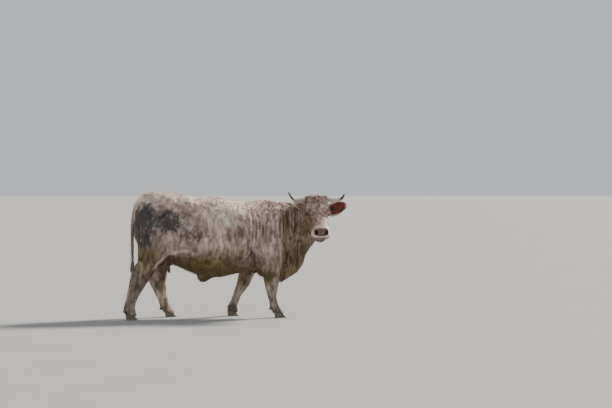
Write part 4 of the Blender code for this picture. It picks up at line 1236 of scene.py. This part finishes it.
def build_long_hair(roots):
    """Longer hair of chin, navel, underline and fetlocks."""
    area, head, centres, facing = roots.area, roots.area.head, roots.centres, roots.facing
    z = centres[:, 2]
    chin = area.on_head * roots.haired * ramp(head[:, 2], -0.165, -0.185) * ramp(head[:, 0], 0.34, 0.4)
    navel = near(centres, NAVEL, (0.08, 0.05, 0.03)) * ramp(z, 0.5, 0.46)
    under = ramp(facing[:, 2], -0.45, -0.75) * ramp(z, 0.75, 0.65) * ramp(z, 0.36, 0.38)
    under = under * roots.haired * (1 - area.on_head)
    ankle = ramp(z, 0.2, 0.16) * ramp(z, 0.075, 0.09) * ramp(facing[:, 0], -0.2, -0.6)
    for name, kind, density, tufts, long, wide, lift, curl, way in (
        ("hair_chin", "head", chin, 900, 0.024, 0.004, 0.5, 0.8, (0.1, -0.15, -1.0)),
        ("hair_navel", "trunk", navel, 500, 0.028, 0.005, 0.5, 0.6, (-0.6, 0.0, -0.8)),
        ("hair_underline", "trunk", under, 2800, 0.036, 0.006, 0.4, 0.8, (-0.8, 0.0, -0.5)),
        ("hair_fetlocks", "legs", ankle, 1200, 0.016, 0.004, 0.2, 0.5, (-0.4, 0.0, -1.0)),
    ):
        points, normals = roots.sample(density, tufts)
        count = len(points)
        way = along_skin(np.array(way) + 0.5 * (SEEDS.rand(count, 3) - 0.5), normals, 0.8)
        length, width = long * between(count, 0.6, 1.3), wide * between(count, 0.7, 1.2)
        lift, curl = lift * between(count, 0.4, 1.2), curl * between(count, -1, 1)
        grow(name, points, normals, length, width, wide * 0.4, lift, curl, 3, sink=0.0015, kind=kind,
             way=way)


def build_switch():
    """Long locks that hang from the end of the tail and close to a point."""
    low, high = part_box("tail_switch")
    axis, count = (low + high) / 2, SWITCH_TUFTS
    turn, out = SEEDS.rand(count) * 2 * pi, SEEDS.rand(count) ** 0.5
    height = low.z + (high.z - low.z) * (0.35 + 0.62 * SEEDS.rand(count))
    outward = np.column_stack((np.cos(turn), np.sin(turn), 0 * turn))
    slim = 0.016 * (0.55 + 0.45 * ramp(height, high.z, low.z + 0.06))
    points = np.array((axis.x + 0.004, axis.y, 0.0)) + outward * (out * slim)[:, None]
    points[:, 2] = height
    way = unit(np.array((-0.04, 0.0, -1.0)) + 0.1 * (SEEDS.rand(count, 3) - 0.5))
    length = np.minimum(between(count, 0.07, 0.13), height - low.z + 0.004)
    obj = grow("switch_locks", points, along_skin(outward, way), length, (0.006, 0.01), 0.005, (0.05, 0.3),
               (-0.25, 0.25), 5, sink=0.0, kind="trunk", way=way, slot="tail_hair", droop=1.4,
               paint=(0.35, 0.55, 0.45, 0.0))
    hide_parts("tail_switch")


def build_lashes():
    for side in SIDES:
        eye = centre, look, slit, rise = eye_axes(side)
        turn = np.linspace(0.12, 0.88, LASHES) * pi
        points = centre + round_eye(eye, turn, lid_opening(turn) + 0.03) * (EYE_RADIUS + 0.0035)
        way = unit(look * 0.9 + swung(slit, rise, turn) * 0.8)
        grow("lashes_" + side, points, along_skin(rise, way), (0.01, 0.016), 0.0011, 0.0008, 0.2, 0.1, 3,
             way=way, paint=(0.5, 0.3, 0.0, 0.0))


# ------------------------------------------------------------------ studio
FLOOR_REACH = 400.0
FLOOR_DARK, FLOOR_PALE = (0.262, 0.262, 0.258), (0.275, 0.275, 0.27)
SKY, SKY_STRENGTH = (0.84, 0.86, 0.9, 1), 0.71
# Name, the way the light goes, how wide the lamp looks in degrees, power, colour.
LAMPS = (
    ("key_behind", (-0.74, -0.4, -0.54), 12, 10.0, (1.0, 0.94, 0.85)),
    ("front_fill", (0.45, 0.8, -0.4), 40, 0.75, (0.97, 0.98, 1.0)),
)
CAMERA_PLACE = (START_X - 4.248, -22.568, 1.6)
CAMERA_HEADING, CAMERA_PITCH = radians(77.2186), radians(-0.69587)
SENSOR, LENS = 36.0, 116.235  # millimetres


def aimed(name, data, place, forward):
    """A lamp or camera at a place, looking along forward."""
    obj = placed(name, data)
    obj.location, obj.rotation_mode = place, "QUATERNION"
    obj.rotation_quaternion = Vector(forward).to_track_quat("-Z", "Y")
    return obj


def build_stage():
    m = Look("studio_floor")
    colour = m.grainy(1.2, 0.3, 0.7, FLOOR_DARK, FLOOR_PALE, detail=2.0)
    mesh = bpy.data.meshes.new("floor")
    corners = [(x * FLOOR_REACH, y * FLOOR_REACH, 0) for x, y in ((-1, -1), (1, -1), (1, 1), (-1, 1))]
    mesh.from_pydata(corners, [], [(0, 1, 2, 3)])
    mesh.materials.append(m.done(colour, 0.9))
    placed("floor", mesh)
    world = bpy.data.worlds.new("studio")
    world.use_nodes = True
    back = world.node_tree.nodes["Background"]
    back.inputs["Color"].default_value = SKY
    back.inputs["Strength"].default_value = SKY_STRENGTH
    bpy.context.scene.world = world
    for name, towards, angle, power, colour in LAMPS:
        lamp = bpy.data.lights.new(name, "SUN")
        lamp.angle, lamp.energy, lamp.color = radians(angle), power, colour
        aimed(name, lamp, (0, 0, 5), towards)


def build_camera():
    data = bpy.data.cameras.new("camera")
    data.sensor_width, data.lens, data.clip_end = SENSOR, LENS, 200
    level = cos(CAMERA_PITCH)
    forward = (cos(CAMERA_HEADING) * level, sin(CAMERA_HEADING) * level, sin(CAMERA_PITCH))
    bpy.context.scene.camera = aimed("camera", data, CAMERA_PLACE, forward)


build_stage()
build_camera()
SKIN_ROOTS = Roots(build_skin())
build_eyes()
build_horns()
build_hooves()
hide_material("hide_coat", on_skin=False)
build_body_coat(SKIN_ROOTS)
FACE = face_share(SKIN_ROOTS)
build_face_coat(SKIN_ROOTS, FACE)
build_curls(SKIN_ROOTS, FACE)
build_ear_coat(SKIN_ROOTS)
build_long_hair(SKIN_ROOTS)
build_switch()
build_lashes()
